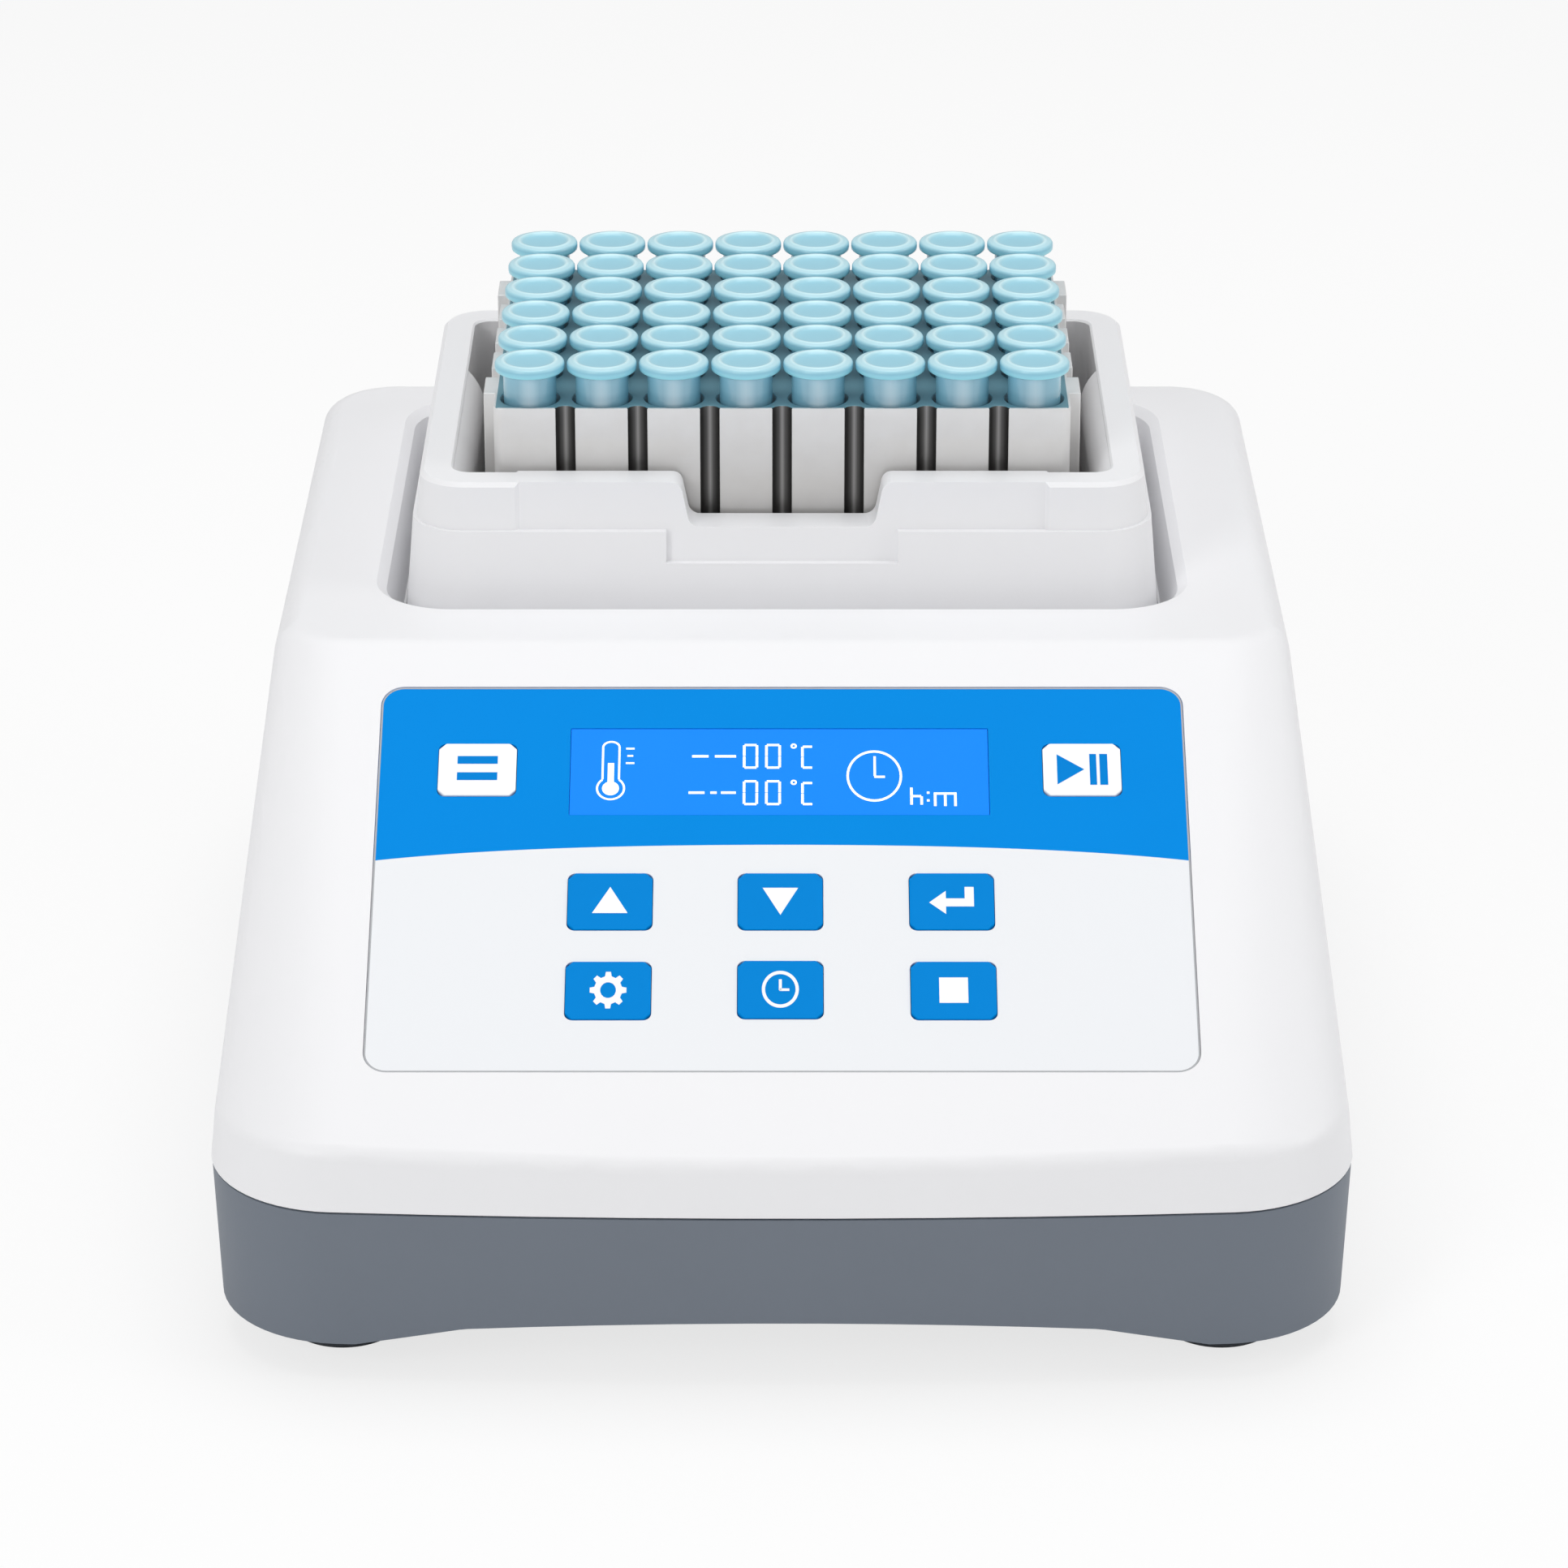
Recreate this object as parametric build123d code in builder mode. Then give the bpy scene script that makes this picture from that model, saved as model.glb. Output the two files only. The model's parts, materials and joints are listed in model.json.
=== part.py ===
from build123d import *
from math import atan2, cos, radians, sin, tan
import os

# Dry bath incubator: a bench heater for 48 small lidded tubes.
# A white drafted cover with a sloped control face stands on a grey base with four feet.
# In the cover's well a stepped white collar surrounds a grooved aluminium block.
# Sizes are in millimetres. The origin is on the bench under the middle of the housing,
# +X is to the right, +Y to the rear and +Z up.

os.makedirs("parts", exist_ok=True)

# Housing seen from above, at the seam
body_width = 210.0
body_depth = 259.0
front_bow = 4.0
front_corner = 25.0
rear_corner = 22.0

# Housing heights above the bench
foot_height = 7.5
seam_height = 35.0
crease_height = 45.3
top_height = 105.2

# Housing drafts, walls and edges
cover_draft = 6.0
base_draft = 2.0
cover_wall = 2.5
base_wall = 3.8
seam_gap = 0.4
slope_run = 103.0
top_front_corner = 13.0
crease_radius = 4.0
top_edge_radius = 5.0

# Base tray
floor_height = 13.6
floor_thickness = 2.4
arch_half = 78.0
arch_turn = 58.0
arch_turn_rise = 3.8
arch_rise = 5.7
arch_round = 14.0
tongue_height = 2.4
tongue_clearance = 0.2
vent_width = 3.0
vent_length = 30.0
vent_pitch = 8.0
vent_count = 6
vent_y = -8.0

# Feet
foot_radius = 12.0
foot_edge = 1.6
foot_inset_x = 23.7
foot_inset_y = 25.5
foot_boss_radius = 9.5
foot_recess_radius = 3.4
foot_recess_depth = 3.6

# Well in the cover, around the collar
well_half_width = 78.3
well_half_depth = 59.3
well_corner = 14.0
well_depth = 11.5
well_draft = 12.0
well_centre_y = 51.0
well_lip = 2.2
well_edge = 1.6
lip_clearance = 0.5

# Collar around the block
collar_rim_height = 128.0
collar_half_width = 70.9
collar_half_depth = 52.2
collar_rim_width = 6.6
collar_corner = 9.0
collar_inner_corner = 3.5
collar_draft = 5.0
collar_skin = 2.2
ledge_height = 118.6
ledge_width = 0.8
ledge_drop = 6.4
ledge_drop_half = 22.6
set_in = 0.8
set_in_half = 52.0
set_in_slant = 0.8
notch_half = 18.0
notch_depth = 9.0
notch_slant = 1.8
notch_round = 2.4
rim_chamfer = 0.8
guide_thickness = 3.0
guide_low = 97.0
guide_shoulder = 10.0
guide_reach = 61.0

# Heating block and its wells
columns = 8
rows = 6
column_pitch = 14.1
row_pitch = 14.9
block_margin_x = 7.0
block_margin_y = 6.3
block_top = 140.3
block_height = 45.0
block_corner = 2.0
tube_well_radius = 5.85
tube_well_straight = 17.0
tube_well_cone = 17.6
tube_well_tip = 2.6
groove_radius = 1.9
land_width = 9.4
land_proud = 1.4
lug_proud = 2.3
block_seat_gap = 0.2

# Tubes and lids
tube_radius = 5.2
tube_tip_radius = 1.9
tube_above_block = 5.9
tube_seat_gap = 0.3
lid_radius = 6.85
lid_height = 2.2
round_sides = 8
boss_sides = 12

# Heater under the block
plate_thickness = 8.0
mat_thickness = 1.5
insulation_thickness = 10.0
insulation_clearance = 0.5
heater_margin = 1.5
cutout_radius = 8.0
cutout_height = 6.0
cutout_clearance = 0.3
sensor_radius = 2.0
sensor_length = 30.0
sensor_tail = 4.0

# Carrier frame of folded sheet
carrier_sheet = 1.2
carrier_half_width = 77.5
carrier_half_depth = 58.5
carrier_leg_half = 40.0
carrier_flange = 13.0
carrier_screw_y = 32.0

# Control panel, in the plane of the sloped face; heights are measured up the slope from the crease
panel_width = 152.6
panel_low = 20.1
panel_high = 107.8
panel_corner = 4.4
recess_depth = 0.8
overlay_thickness = 0.6
overlay_clearance = 0.15
lcd_width = 78.9
lcd_height = 20.1
lcd_x = -0.5
lcd_up = 87.9
lens_sunk = 0.1
lens_flange = 1.5
lens_flange_thickness = 1.0
module_margin = 3.0
key_width = 15.7
key_height = 12.7
white_key_width = 14.7
white_key_height = 12.1
key_corner = 1.2
key_clearance = 0.3
key_proud = 0.25
key_seat_gap = 0.1
key_flange = 1.0
key_flange_thickness = 0.8
key_travel = 0.5
key_stem_radius = 1.6
key_stem_length = 2.4
switch_side = 6.0
switch_height = 3.5
switch_gap = 0.4
board_thickness = 1.6
key_board_width = 146.0
key_board_margin = 3.0
pillar_side = 5.0
pillar_inset = 5.0

# Circuit boards and supply in the base
main_board_width = 120.0
main_board_depth = 70.0
main_board_y = -68.0
standoff_height = 6.0
standoff_inset = 6.0
supply_width = 110.0
supply_depth = 64.0
supply_height = 36.0
supply_y = 45.0

# Rear panel: mains inlet with its fuse drawer, and the power rocker
inlet_x = -52.0
rear_height = 56.0
inlet_flange_width = 31.0
inlet_flange_height = 34.0
inlet_flange_thickness = 2.4
inlet_body_width = 27.0
inlet_body_height = 29.0
inlet_body_depth = 24.0
socket_width = 24.2
socket_height = 15.6
socket_depth = 17.0
socket_corner = 4.0
socket_up = 5.5
blade_width = 4.0
blade_thickness = 2.0
blade_spread = 7.0
blade_rise = 2.5
blade_length = 12.0
blade_tail = 8.0
drawer_width = 22.0
drawer_height = 8.6
drawer_depth = 18.0
drawer_up = -8.4
drawer_clearance = 0.3
drawer_lip = 1.2
fuse_radius = 2.5
fuse_length = 20.0
fuse_clearance = 0.1
rocker_x = -14.0
rocker_frame_width = 16.0
rocker_frame_height = 21.5
rocker_frame_thickness = 2.0
rocker_body_width = 13.4
rocker_body_height = 18.4
rocker_body_depth = 12.5
rocker_thickness = 10.0
rocker_radius = 7.6
rocker_clearance = 0.3
rocker_pivot_depth = 0.5
rocker_crown = 1.2
rocker_fold = 9.0
rocker_throw = 7.0
panel_clearance = 0.1

# Fasteners
screw_radius = 1.5
screw_head_radius = 2.8
screw_head_height = 2.0
screw_clearance = 0.15
screw_sides = 6
boss_radius = 4.5
screw_bite = 10.0
short_bite = 5.0
cover_boss_x = 88.0
cover_boss_y = 82.0

# Worked-out places on the housing
front_edge = -body_depth / 2
rear_edge = body_depth / 2
cover_lean = tan(radians(cover_draft))
base_lean = tan(radians(base_draft))
cover_bottom = seam_height + seam_gap / 2
base_top = seam_height - seam_gap / 2
floor_top = floor_height + floor_thickness
crease_y = front_edge + (crease_height - seam_height) * cover_lean
slope_rise = top_height - crease_height
slope_angle = atan2(slope_rise, slope_run)
foot_x = body_width / 2 - foot_inset_x
foot_front_y = front_edge + foot_inset_y
foot_rear_y = rear_edge - foot_inset_y
foot_places = [
    ("foot_front_left", -foot_x, foot_front_y),
    ("foot_front_right", foot_x, foot_front_y),
    ("foot_rear_left", -foot_x, foot_rear_y),
    ("foot_rear_right", foot_x, foot_rear_y),
]

# The control face's plane: x to the right, y up the slope, z out of the face
face = Plane(
    origin=(0, crease_y, crease_height),
    x_dir=(1, 0, 0),
    z_dir=(0, -sin(slope_angle), cos(slope_angle)),
)

# The rear wall's plane at the inlet's height: x to the left, y up, z out to the rear
rear_wall_y = rear_edge - (rear_height - seam_height) * cover_lean
rear_face = Plane(
    origin=(0, rear_wall_y, rear_height),
    x_dir=(-1, 0, 0),
    z_dir=(0, cos(radians(cover_draft)), sin(radians(cover_draft))),
)

# The collar's drafted front face: x to the right, y up the face from the rim
collar_front_y = well_centre_y - collar_half_depth
collar_front = Plane(
    origin=(0, collar_front_y, collar_rim_height),
    x_dir=(1, 0, 0),
    z_dir=(0, -cos(radians(collar_draft)), sin(radians(collar_draft))),
)

# Worked-out places of the heater stack, from the block downwards
block_width = (columns - 1) * column_pitch + 2 * block_margin_x
block_depth = (rows - 1) * row_pitch + 2 * block_margin_y
block_bottom = block_top - block_height
plate_top = block_bottom - block_seat_gap
mat_top = plate_top - plate_thickness
insulation_top = mat_top - mat_thickness
carrier_top = insulation_top - insulation_thickness
carrier_bottom = carrier_top - carrier_sheet
heater_width = block_width + 2 * heater_margin
heater_depth = block_depth + 2 * heater_margin
collar_lean = tan(radians(collar_draft))
opening_half_width = collar_half_width - collar_rim_width + 0.2
opening_half_depth = collar_half_depth - collar_rim_width - 0.1

# Boards stand on pillars behind the face; levels are measured out of the face
stem_end = -(cover_wall + key_seat_gap + key_flange_thickness + key_stem_length)
switch_top = stem_end - key_travel - switch_gap
board_level = switch_top - switch_height
board_low = panel_low + key_board_margin
board_high = panel_high - key_board_margin
board_middle = (board_low + board_high) / 2
pillar_x = key_board_width / 2 - pillar_inset
pillar_y = (board_high - board_low) / 2 - pillar_inset
pillar_places = [
    (-pillar_x, board_middle - pillar_y),
    (pillar_x, board_middle - pillar_y),
    (-pillar_x, board_middle + pillar_y),
    (pillar_x, board_middle + pillar_y),
]

# Places of the screws on the floor
cover_boss_places = [
    (-cover_boss_x, cover_boss_y),
    (cover_boss_x, cover_boss_y),
    (-cover_boss_x, -cover_boss_y),
    (cover_boss_x, -cover_boss_y),
]
carrier_screw_x = carrier_half_width - carrier_flange / 2
carrier_screw_places = [
    (-carrier_screw_x, well_centre_y - carrier_screw_y),
    (carrier_screw_x, well_centre_y - carrier_screw_y),
    (-carrier_screw_x, well_centre_y + carrier_screw_y),
    (carrier_screw_x, well_centre_y + carrier_screw_y),
]
standoff_x = main_board_width / 2 - standoff_inset
standoff_y = main_board_depth / 2 - standoff_inset
standoff_places = [
    (-standoff_x, main_board_y - standoff_y),
    (standoff_x, main_board_y - standoff_y),
    (-standoff_x, main_board_y + standoff_y),
    (standoff_x, main_board_y + standoff_y),
]

# Places of the keys on the face: name, x, height up the slope, white or blue
key_places = [
    ("key_menu", -57.5, 88.2, True),
    ("key_start_pause", 56.6, 88.2, True),
    ("key_up", -31.9, 57.9, False),
    ("key_down", -0.3, 57.9, False),
    ("key_enter", 31.5, 57.9, False),
    ("key_settings", -31.9, 38.0, False),
    ("key_timer", -0.3, 38.2, False),
    ("key_stop", 31.5, 38.0, False),
]


def inward(height):
    """How far the drafted cover wall has moved in at this height"""
    return (height - seam_height) * cover_lean


def collar_spread(height):
    """How far the drafted collar stands out beyond its rim at this height"""
    return (collar_rim_height - height) * collar_lean


def housing_plan(inset, spare=0.0):
    """The housing seen from above: a bowed front, straight sides and rear, round corners"""
    half = body_width / 2 - inset + spare
    front = front_edge + inset
    rear = rear_edge - inset + spare
    shoulder = front + front_bow
    with BuildSketch() as outline:
        with BuildLine():
            ThreePointArc((-half, shoulder), (0, front), (half, shoulder))
            Polyline((half, shoulder), (half, rear), (-half, rear), (-half, shoulder))
        make_face()
        fillet(outline.vertices().group_by(Axis.Y)[0], front_corner - inset)
        fillet(outline.vertices().group_by(Axis.Y)[-1], rear_corner - inset)
    return outline.sketch


def slope_section(height, inset):
    """A level section under the control slope, whose front corners tighten towards the top"""
    half = body_width / 2 - inward(height) - inset
    front = crease_y + (height - crease_height) / tan(slope_angle) + inset / sin(slope_angle)
    rear = rear_edge - inward(height) - inset
    climbed = (height - crease_height) / slope_rise
    corner = front_corner + (top_front_corner - front_corner) * climbed
    with BuildSketch() as section:
        with Locations((0, (front + rear) / 2)):
            Rectangle(2 * half, rear - front)
        fillet(section.vertices().group_by(Axis.Y)[0], corner - inset)
        fillet(section.vertices().group_by(Axis.Y)[-1], rear_corner - inward(height) - inset)
    return section.sketch


def cover_form(bottom, inset):
    """The cover's outer form, or with an inset the space inside its walls"""
    top = top_height - inset
    corner_spare = 0.15
    with BuildPart() as slope:
        for height in (bottom, top):
            with BuildSketch(Plane.XY.offset(height)):
                add(slope_section(height, inset))
        loft()
    with BuildPart() as form:
        with BuildSketch(Plane.XY.offset(bottom)):
            add(housing_plan(inward(bottom) + inset, corner_spare))
        extrude(amount=top - bottom + cover_wall, taper=cover_draft)
        add(slope.part, mode=Mode.INTERSECT)
    return form.part


def around_block(half_width, half_depth, corner):
    """A rounded rectangle seen from above, centred on the heating block"""
    with BuildSketch() as outline:
        with Locations((0, well_centre_y)):
            RectangleRounded(2 * half_width, 2 * half_depth, corner)
    return outline.sketch


def collar_plan(height, proud):
    """The collar's outline at a height, standing proud of the band below the rim"""
    grow = collar_spread(height) + proud
    return around_block(
        collar_half_width + grow,
        collar_half_depth + grow,
        collar_corner + grow,
    )


def many_sided(radius, sides):
    """A round shape drawn with flats, for pieces and holes that repeat many times"""
    return RegularPolygon(radius=radius, side_count=sides, major_radius=True)


def cut_corners(width, height, corner):
    """A rectangle with small cut corners"""
    with BuildSketch() as shape:
        Rectangle(width, height)
        chamfer(shape.vertices(), corner)
    return shape.sketch


def key_size(white):
    """Width and height of a key's cap"""
    if white:
        return white_key_width, white_key_height
    return key_width, key_height


def screw(under_head, towards, length):
    """A screw whose head sits at a place and whose shank runs along a direction"""
    seat = Plane(origin=under_head, x_dir=(1, 0, 0), z_dir=towards)
    with BuildPart() as fastener:
        with BuildSketch(seat):
            many_sided(screw_head_radius, screw_sides)
        extrude(amount=-screw_head_height)
        with BuildSketch(seat):
            many_sided(screw_radius, screw_sides)
        extrude(amount=length)
    return fastener.part


def save(part, name):
    """Label a finished piece and write it to its file"""
    part.label = name
    export_step(part, "parts/" + name + ".step")


# Top cover: white moulded shell with the well, the panel recess and the rear cut-outs
tub_floor = top_height - well_depth
tub_shrink = well_depth * tan(radians(well_draft))
lip_spread = collar_spread(tub_floor - well_lip) + ledge_width + lip_clearance
with BuildPart() as top_cover:
    add(cover_form(cover_bottom, 0))
    level = top_cover.edges().filter_by_position(Axis.Z, crease_height - 2, crease_height + 2)
    fillet(level, crease_radius)
    fillet(top_cover.faces().sort_by(Axis.Z)[-1].outer_wire().edges(), top_edge_radius)
    add(cover_form(cover_bottom - 1, cover_wall), mode=Mode.SUBTRACT)
    # Tub of the well, hung from the top, with a lip close around the collar
    with BuildSketch(Plane.XY.offset(tub_floor - well_lip)):
        add(around_block(
            well_half_width - tub_shrink + cover_wall,
            well_half_depth - tub_shrink + cover_wall,
            well_corner - tub_shrink + cover_wall,
        ))
    extrude(amount=well_depth + well_lip - cover_wall / 2, taper=-well_draft)
    with BuildSketch(Plane.XY.offset(tub_floor)):
        add(around_block(
            well_half_width - tub_shrink,
            well_half_depth - tub_shrink,
            well_corner - tub_shrink,
        ))
    extrude(amount=well_depth, taper=-well_draft, mode=Mode.SUBTRACT)
    with BuildSketch(Plane.XY.offset(tub_floor - well_lip)):
        add(around_block(
            collar_half_width + lip_spread,
            collar_half_depth + lip_spread,
            collar_corner + lip_spread,
        ))
    extrude(amount=well_lip, mode=Mode.SUBTRACT)
    chamfer(top_cover.faces().sort_by(Axis.Z)[-1].inner_wires()[0].edges(), well_edge)
    # Bosses for the screws from below
    for boss_x, boss_y in cover_boss_places:
        with BuildSketch(Plane.XY.offset(cover_bottom)):
            with Locations((boss_x, boss_y)):
                many_sided(boss_radius, screw_sides)
        extrude(until=Until.NEXT)
    with BuildSketch(Plane.XY.offset(cover_bottom)):
        with Locations(*cover_boss_places):
            many_sided(screw_radius + screw_clearance, screw_sides)
    extrude(amount=screw_bite + 1, mode=Mode.SUBTRACT)
    # Recess for the panel overlay
    with BuildSketch(face):
        with Locations((0, (panel_low + panel_high) / 2)):
            RectangleRounded(panel_width, panel_high - panel_low, panel_corner)
    extrude(amount=-recess_depth, mode=Mode.SUBTRACT)
    # Openings for the keys and the display lens
    with BuildSketch(face):
        for key_name, key_x, key_up, white in key_places:
            width, height = key_size(white)
            with Locations((key_x, key_up)):
                Rectangle(width + 2 * key_clearance, height + 2 * key_clearance)
        with Locations((lcd_x, lcd_up)):
            Rectangle(lcd_width + 2 * panel_clearance, lcd_height + 2 * panel_clearance)
    extrude(amount=-2 * cover_wall, mode=Mode.SUBTRACT)
    # Pillars for the key board, with a hole in each
    with BuildSketch(face.offset(board_level)):
        with Locations(*pillar_places):
            Rectangle(pillar_side, pillar_side)
    extrude(amount=-board_level - cover_wall / 2)
    with BuildSketch(face.offset(board_level)):
        with Locations(*pillar_places):
            many_sided(screw_radius + screw_clearance, screw_sides)
    extrude(amount=short_bite + 0.5, mode=Mode.SUBTRACT)
    # Cut-outs in the rear wall
    with BuildSketch(rear_face):
        with Locations((-inlet_x, 0)):
            Rectangle(inlet_body_width + 2 * panel_clearance, inlet_body_height + 2 * panel_clearance)
        with Locations((-rocker_x, 0)):
            Rectangle(rocker_body_width + 2 * panel_clearance, rocker_body_height + 2 * panel_clearance)
    extrude(amount=2 * cover_wall, both=True, mode=Mode.SUBTRACT)
save(top_cover.part, "top_cover")

# Base tray: grey lower housing with an arched skirt, a floor, posts and a tongue for the cover
tongue_inset = cover_wall + tongue_clearance + tongue_height * cover_lean
skirt_inset = (seam_height - foot_height) * base_lean
with BuildPart() as base_tray:
    with BuildSketch(Plane.XY.offset(foot_height)):
        add(housing_plan(skirt_inset))
    extrude(amount=base_top - foot_height, taper=-base_draft)
    with BuildSketch(Plane.XY.offset(floor_top)):
        add(housing_plan(base_wall))
    extrude(amount=base_top - floor_top, mode=Mode.SUBTRACT)
    with BuildSketch(Plane.XY.offset(foot_height)):
        add(housing_plan(skirt_inset + base_wall))
    extrude(amount=floor_height - foot_height, mode=Mode.SUBTRACT)
    # Arch under the front and the rear
    with BuildSketch(Plane.XZ) as arch:
        with BuildLine():
            Polyline(
                (-arch_turn, foot_height + arch_turn_rise),
                (-arch_half, foot_height),
                (-arch_half, foot_height - 1),
                (arch_half, foot_height - 1),
                (arch_half, foot_height),
                (arch_turn, foot_height + arch_turn_rise),
            )
            ThreePointArc(
                (arch_turn, foot_height + arch_turn_rise),
                (0, foot_height + arch_rise),
                (-arch_turn, foot_height + arch_turn_rise),
            )
        make_face()
        turns = arch.vertices().filter_by_position(
            Axis.Y, foot_height + arch_turn_rise - 0.1, foot_height + arch_turn_rise + 0.1
        )
        fillet(turns, arch_round)
    extrude(amount=body_depth, both=True, mode=Mode.SUBTRACT)
    # Tongue inside the cover's edge
    with BuildSketch(Plane.XY.offset(base_top)):
        add(housing_plan(tongue_inset))
        add(housing_plan(base_wall), mode=Mode.SUBTRACT)
    extrude(amount=tongue_height)
    # Bosses for the feet and the carrier's screws, under the floor
    with BuildSketch(Plane.XY.offset(foot_height)):
        for foot_name, place_x, place_y in foot_places:
            with Locations((place_x, place_y)):
                many_sided(foot_boss_radius, boss_sides)
    extrude(amount=floor_height - foot_height)
    with BuildSketch(Plane.XY.offset(floor_height - short_bite)):
        with Locations(*carrier_screw_places):
            many_sided(boss_radius, screw_sides)
    extrude(amount=short_bite)
    # Posts under the cover's bosses, and standoffs for the main board
    with BuildSketch(Plane.XY.offset(floor_top)):
        with Locations(*cover_boss_places):
            many_sided(boss_radius, screw_sides)
    extrude(amount=cover_bottom - floor_top)
    with BuildSketch(Plane.XY.offset(floor_top)):
        with Locations(*standoff_places):
            many_sided(boss_radius, screw_sides)
    extrude(amount=standoff_height)
    # Screw holes
    with BuildSketch(Plane.XY.offset(floor_height)):
        with Locations(*cover_boss_places):
            many_sided(screw_radius + screw_clearance, screw_sides)
    extrude(amount=cover_bottom - floor_height, mode=Mode.SUBTRACT)
    with BuildSketch(Plane.XY.offset(floor_top)):
        with Locations(*carrier_screw_places):
            many_sided(screw_radius + screw_clearance, screw_sides)
    extrude(amount=-(floor_thickness + short_bite), mode=Mode.SUBTRACT)
    with BuildSketch(Plane.XY.offset(floor_top + standoff_height)):
        with Locations(*standoff_places):
            many_sided(screw_radius + screw_clearance, screw_sides)
    extrude(amount=-(short_bite + 0.5), mode=Mode.SUBTRACT)
    with BuildSketch(Plane.XY.offset(foot_height)):
        for foot_name, place_x, place_y in foot_places:
            with Locations((place_x, place_y)):
                many_sided(screw_radius + screw_clearance, screw_sides)
    extrude(amount=floor_height - foot_height + 1, mode=Mode.SUBTRACT)
    # Vents through the floor
    with BuildSketch(Plane.XY.offset(floor_height)):
        with Locations((0, vent_y)):
            with GridLocations(vent_pitch, 0, vent_count, 1):
                Rectangle(vent_width, vent_length)
    extrude(amount=floor_thickness, mode=Mode.SUBTRACT)
save(base_tray.part, "base_tray")

# Feet: dark rubber discs with a rounded lower edge and a recess for the screw
for foot_name, place_x, place_y in foot_places:
    with BuildPart() as foot:
        with BuildSketch():
            with Locations((place_x, place_y)):
                Circle(foot_radius)
        extrude(amount=foot_height)
        chamfer(foot.faces().sort_by(Axis.Z)[0].edges(), foot_edge)
        with BuildSketch():
            with Locations((place_x, place_y)):
                many_sided(foot_recess_radius, screw_sides)
        extrude(amount=foot_recess_depth, mode=Mode.SUBTRACT)
        with BuildSketch(Plane.XY.offset(foot_recess_depth)):
            with Locations((place_x, place_y)):
                many_sided(screw_radius + screw_clearance, screw_sides)
        extrude(amount=foot_height - foot_recess_depth, mode=Mode.SUBTRACT)
    save(foot.part, foot_name)

# Screws, in four sets
with BuildPart() as foot_screws:
    for foot_name, place_x, place_y in foot_places:
        add(screw((place_x, place_y, foot_recess_depth), (0, 0, 1), floor_height - foot_recess_depth))
save(foot_screws.part, "foot_screws")

with BuildPart() as cover_screws:
    for place_x, place_y in cover_boss_places:
        add(screw((place_x, place_y, floor_height), (0, 0, 1), cover_bottom + screw_bite - floor_height))
save(cover_screws.part, "cover_screws")

with BuildPart() as carrier_screws:
    for place_x, place_y in carrier_screw_places:
        length = carrier_sheet + floor_thickness + short_bite - 0.5
        add(screw((place_x, place_y, floor_top + carrier_sheet), (0, 0, -1), length))
save(carrier_screws.part, "carrier_screws")

face_out = face.z_dir
with BuildPart() as board_screws:
    for place_x, place_y in standoff_places:
        top = floor_top + standoff_height + board_thickness
        add(screw((place_x, place_y, top), (0, 0, -1), board_thickness + short_bite))
    for place_x, place_up in pillar_places:
        under = face.offset(board_level - board_thickness).from_local_coords((place_x, place_up, 0))
        add(screw(under, face_out, board_thickness + short_bite))
save(board_screws.part, "board_screws")

# Collar: stepped white surround with a finger notch, hollow between its walls
with BuildPart() as collar_space:
    with BuildSketch(Plane.XY.offset(carrier_top)):
        hollow_grow = collar_spread(carrier_top) + ledge_width - collar_skin
        with Locations((0, well_centre_y)):
            add(cut_corners(
                2 * (collar_half_width + hollow_grow),
                2 * (collar_half_depth + hollow_grow - set_in),
                collar_corner,
            ))
    extrude(amount=collar_rim_height - collar_skin - carrier_top, taper=collar_draft)
    with BuildSketch(Plane.XY.offset(carrier_top)):
        with Locations((0, well_centre_y)):
            Rectangle(
                2 * (opening_half_width + collar_skin),
                2 * (opening_half_depth + collar_skin),
            )
    extrude(amount=collar_rim_height - carrier_top, mode=Mode.SUBTRACT)
    # The notch and the lowered ledge have solid walls behind them
    with BuildSketch(Plane.XY.offset(ledge_height - ledge_drop - collar_skin)):
        with Locations((0, collar_front_y)):
            Rectangle(2 * (ledge_drop_half + collar_skin), 4 * collar_rim_width)
    extrude(amount=collar_rim_height - ledge_height + ledge_drop + collar_skin, mode=Mode.SUBTRACT)

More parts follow.
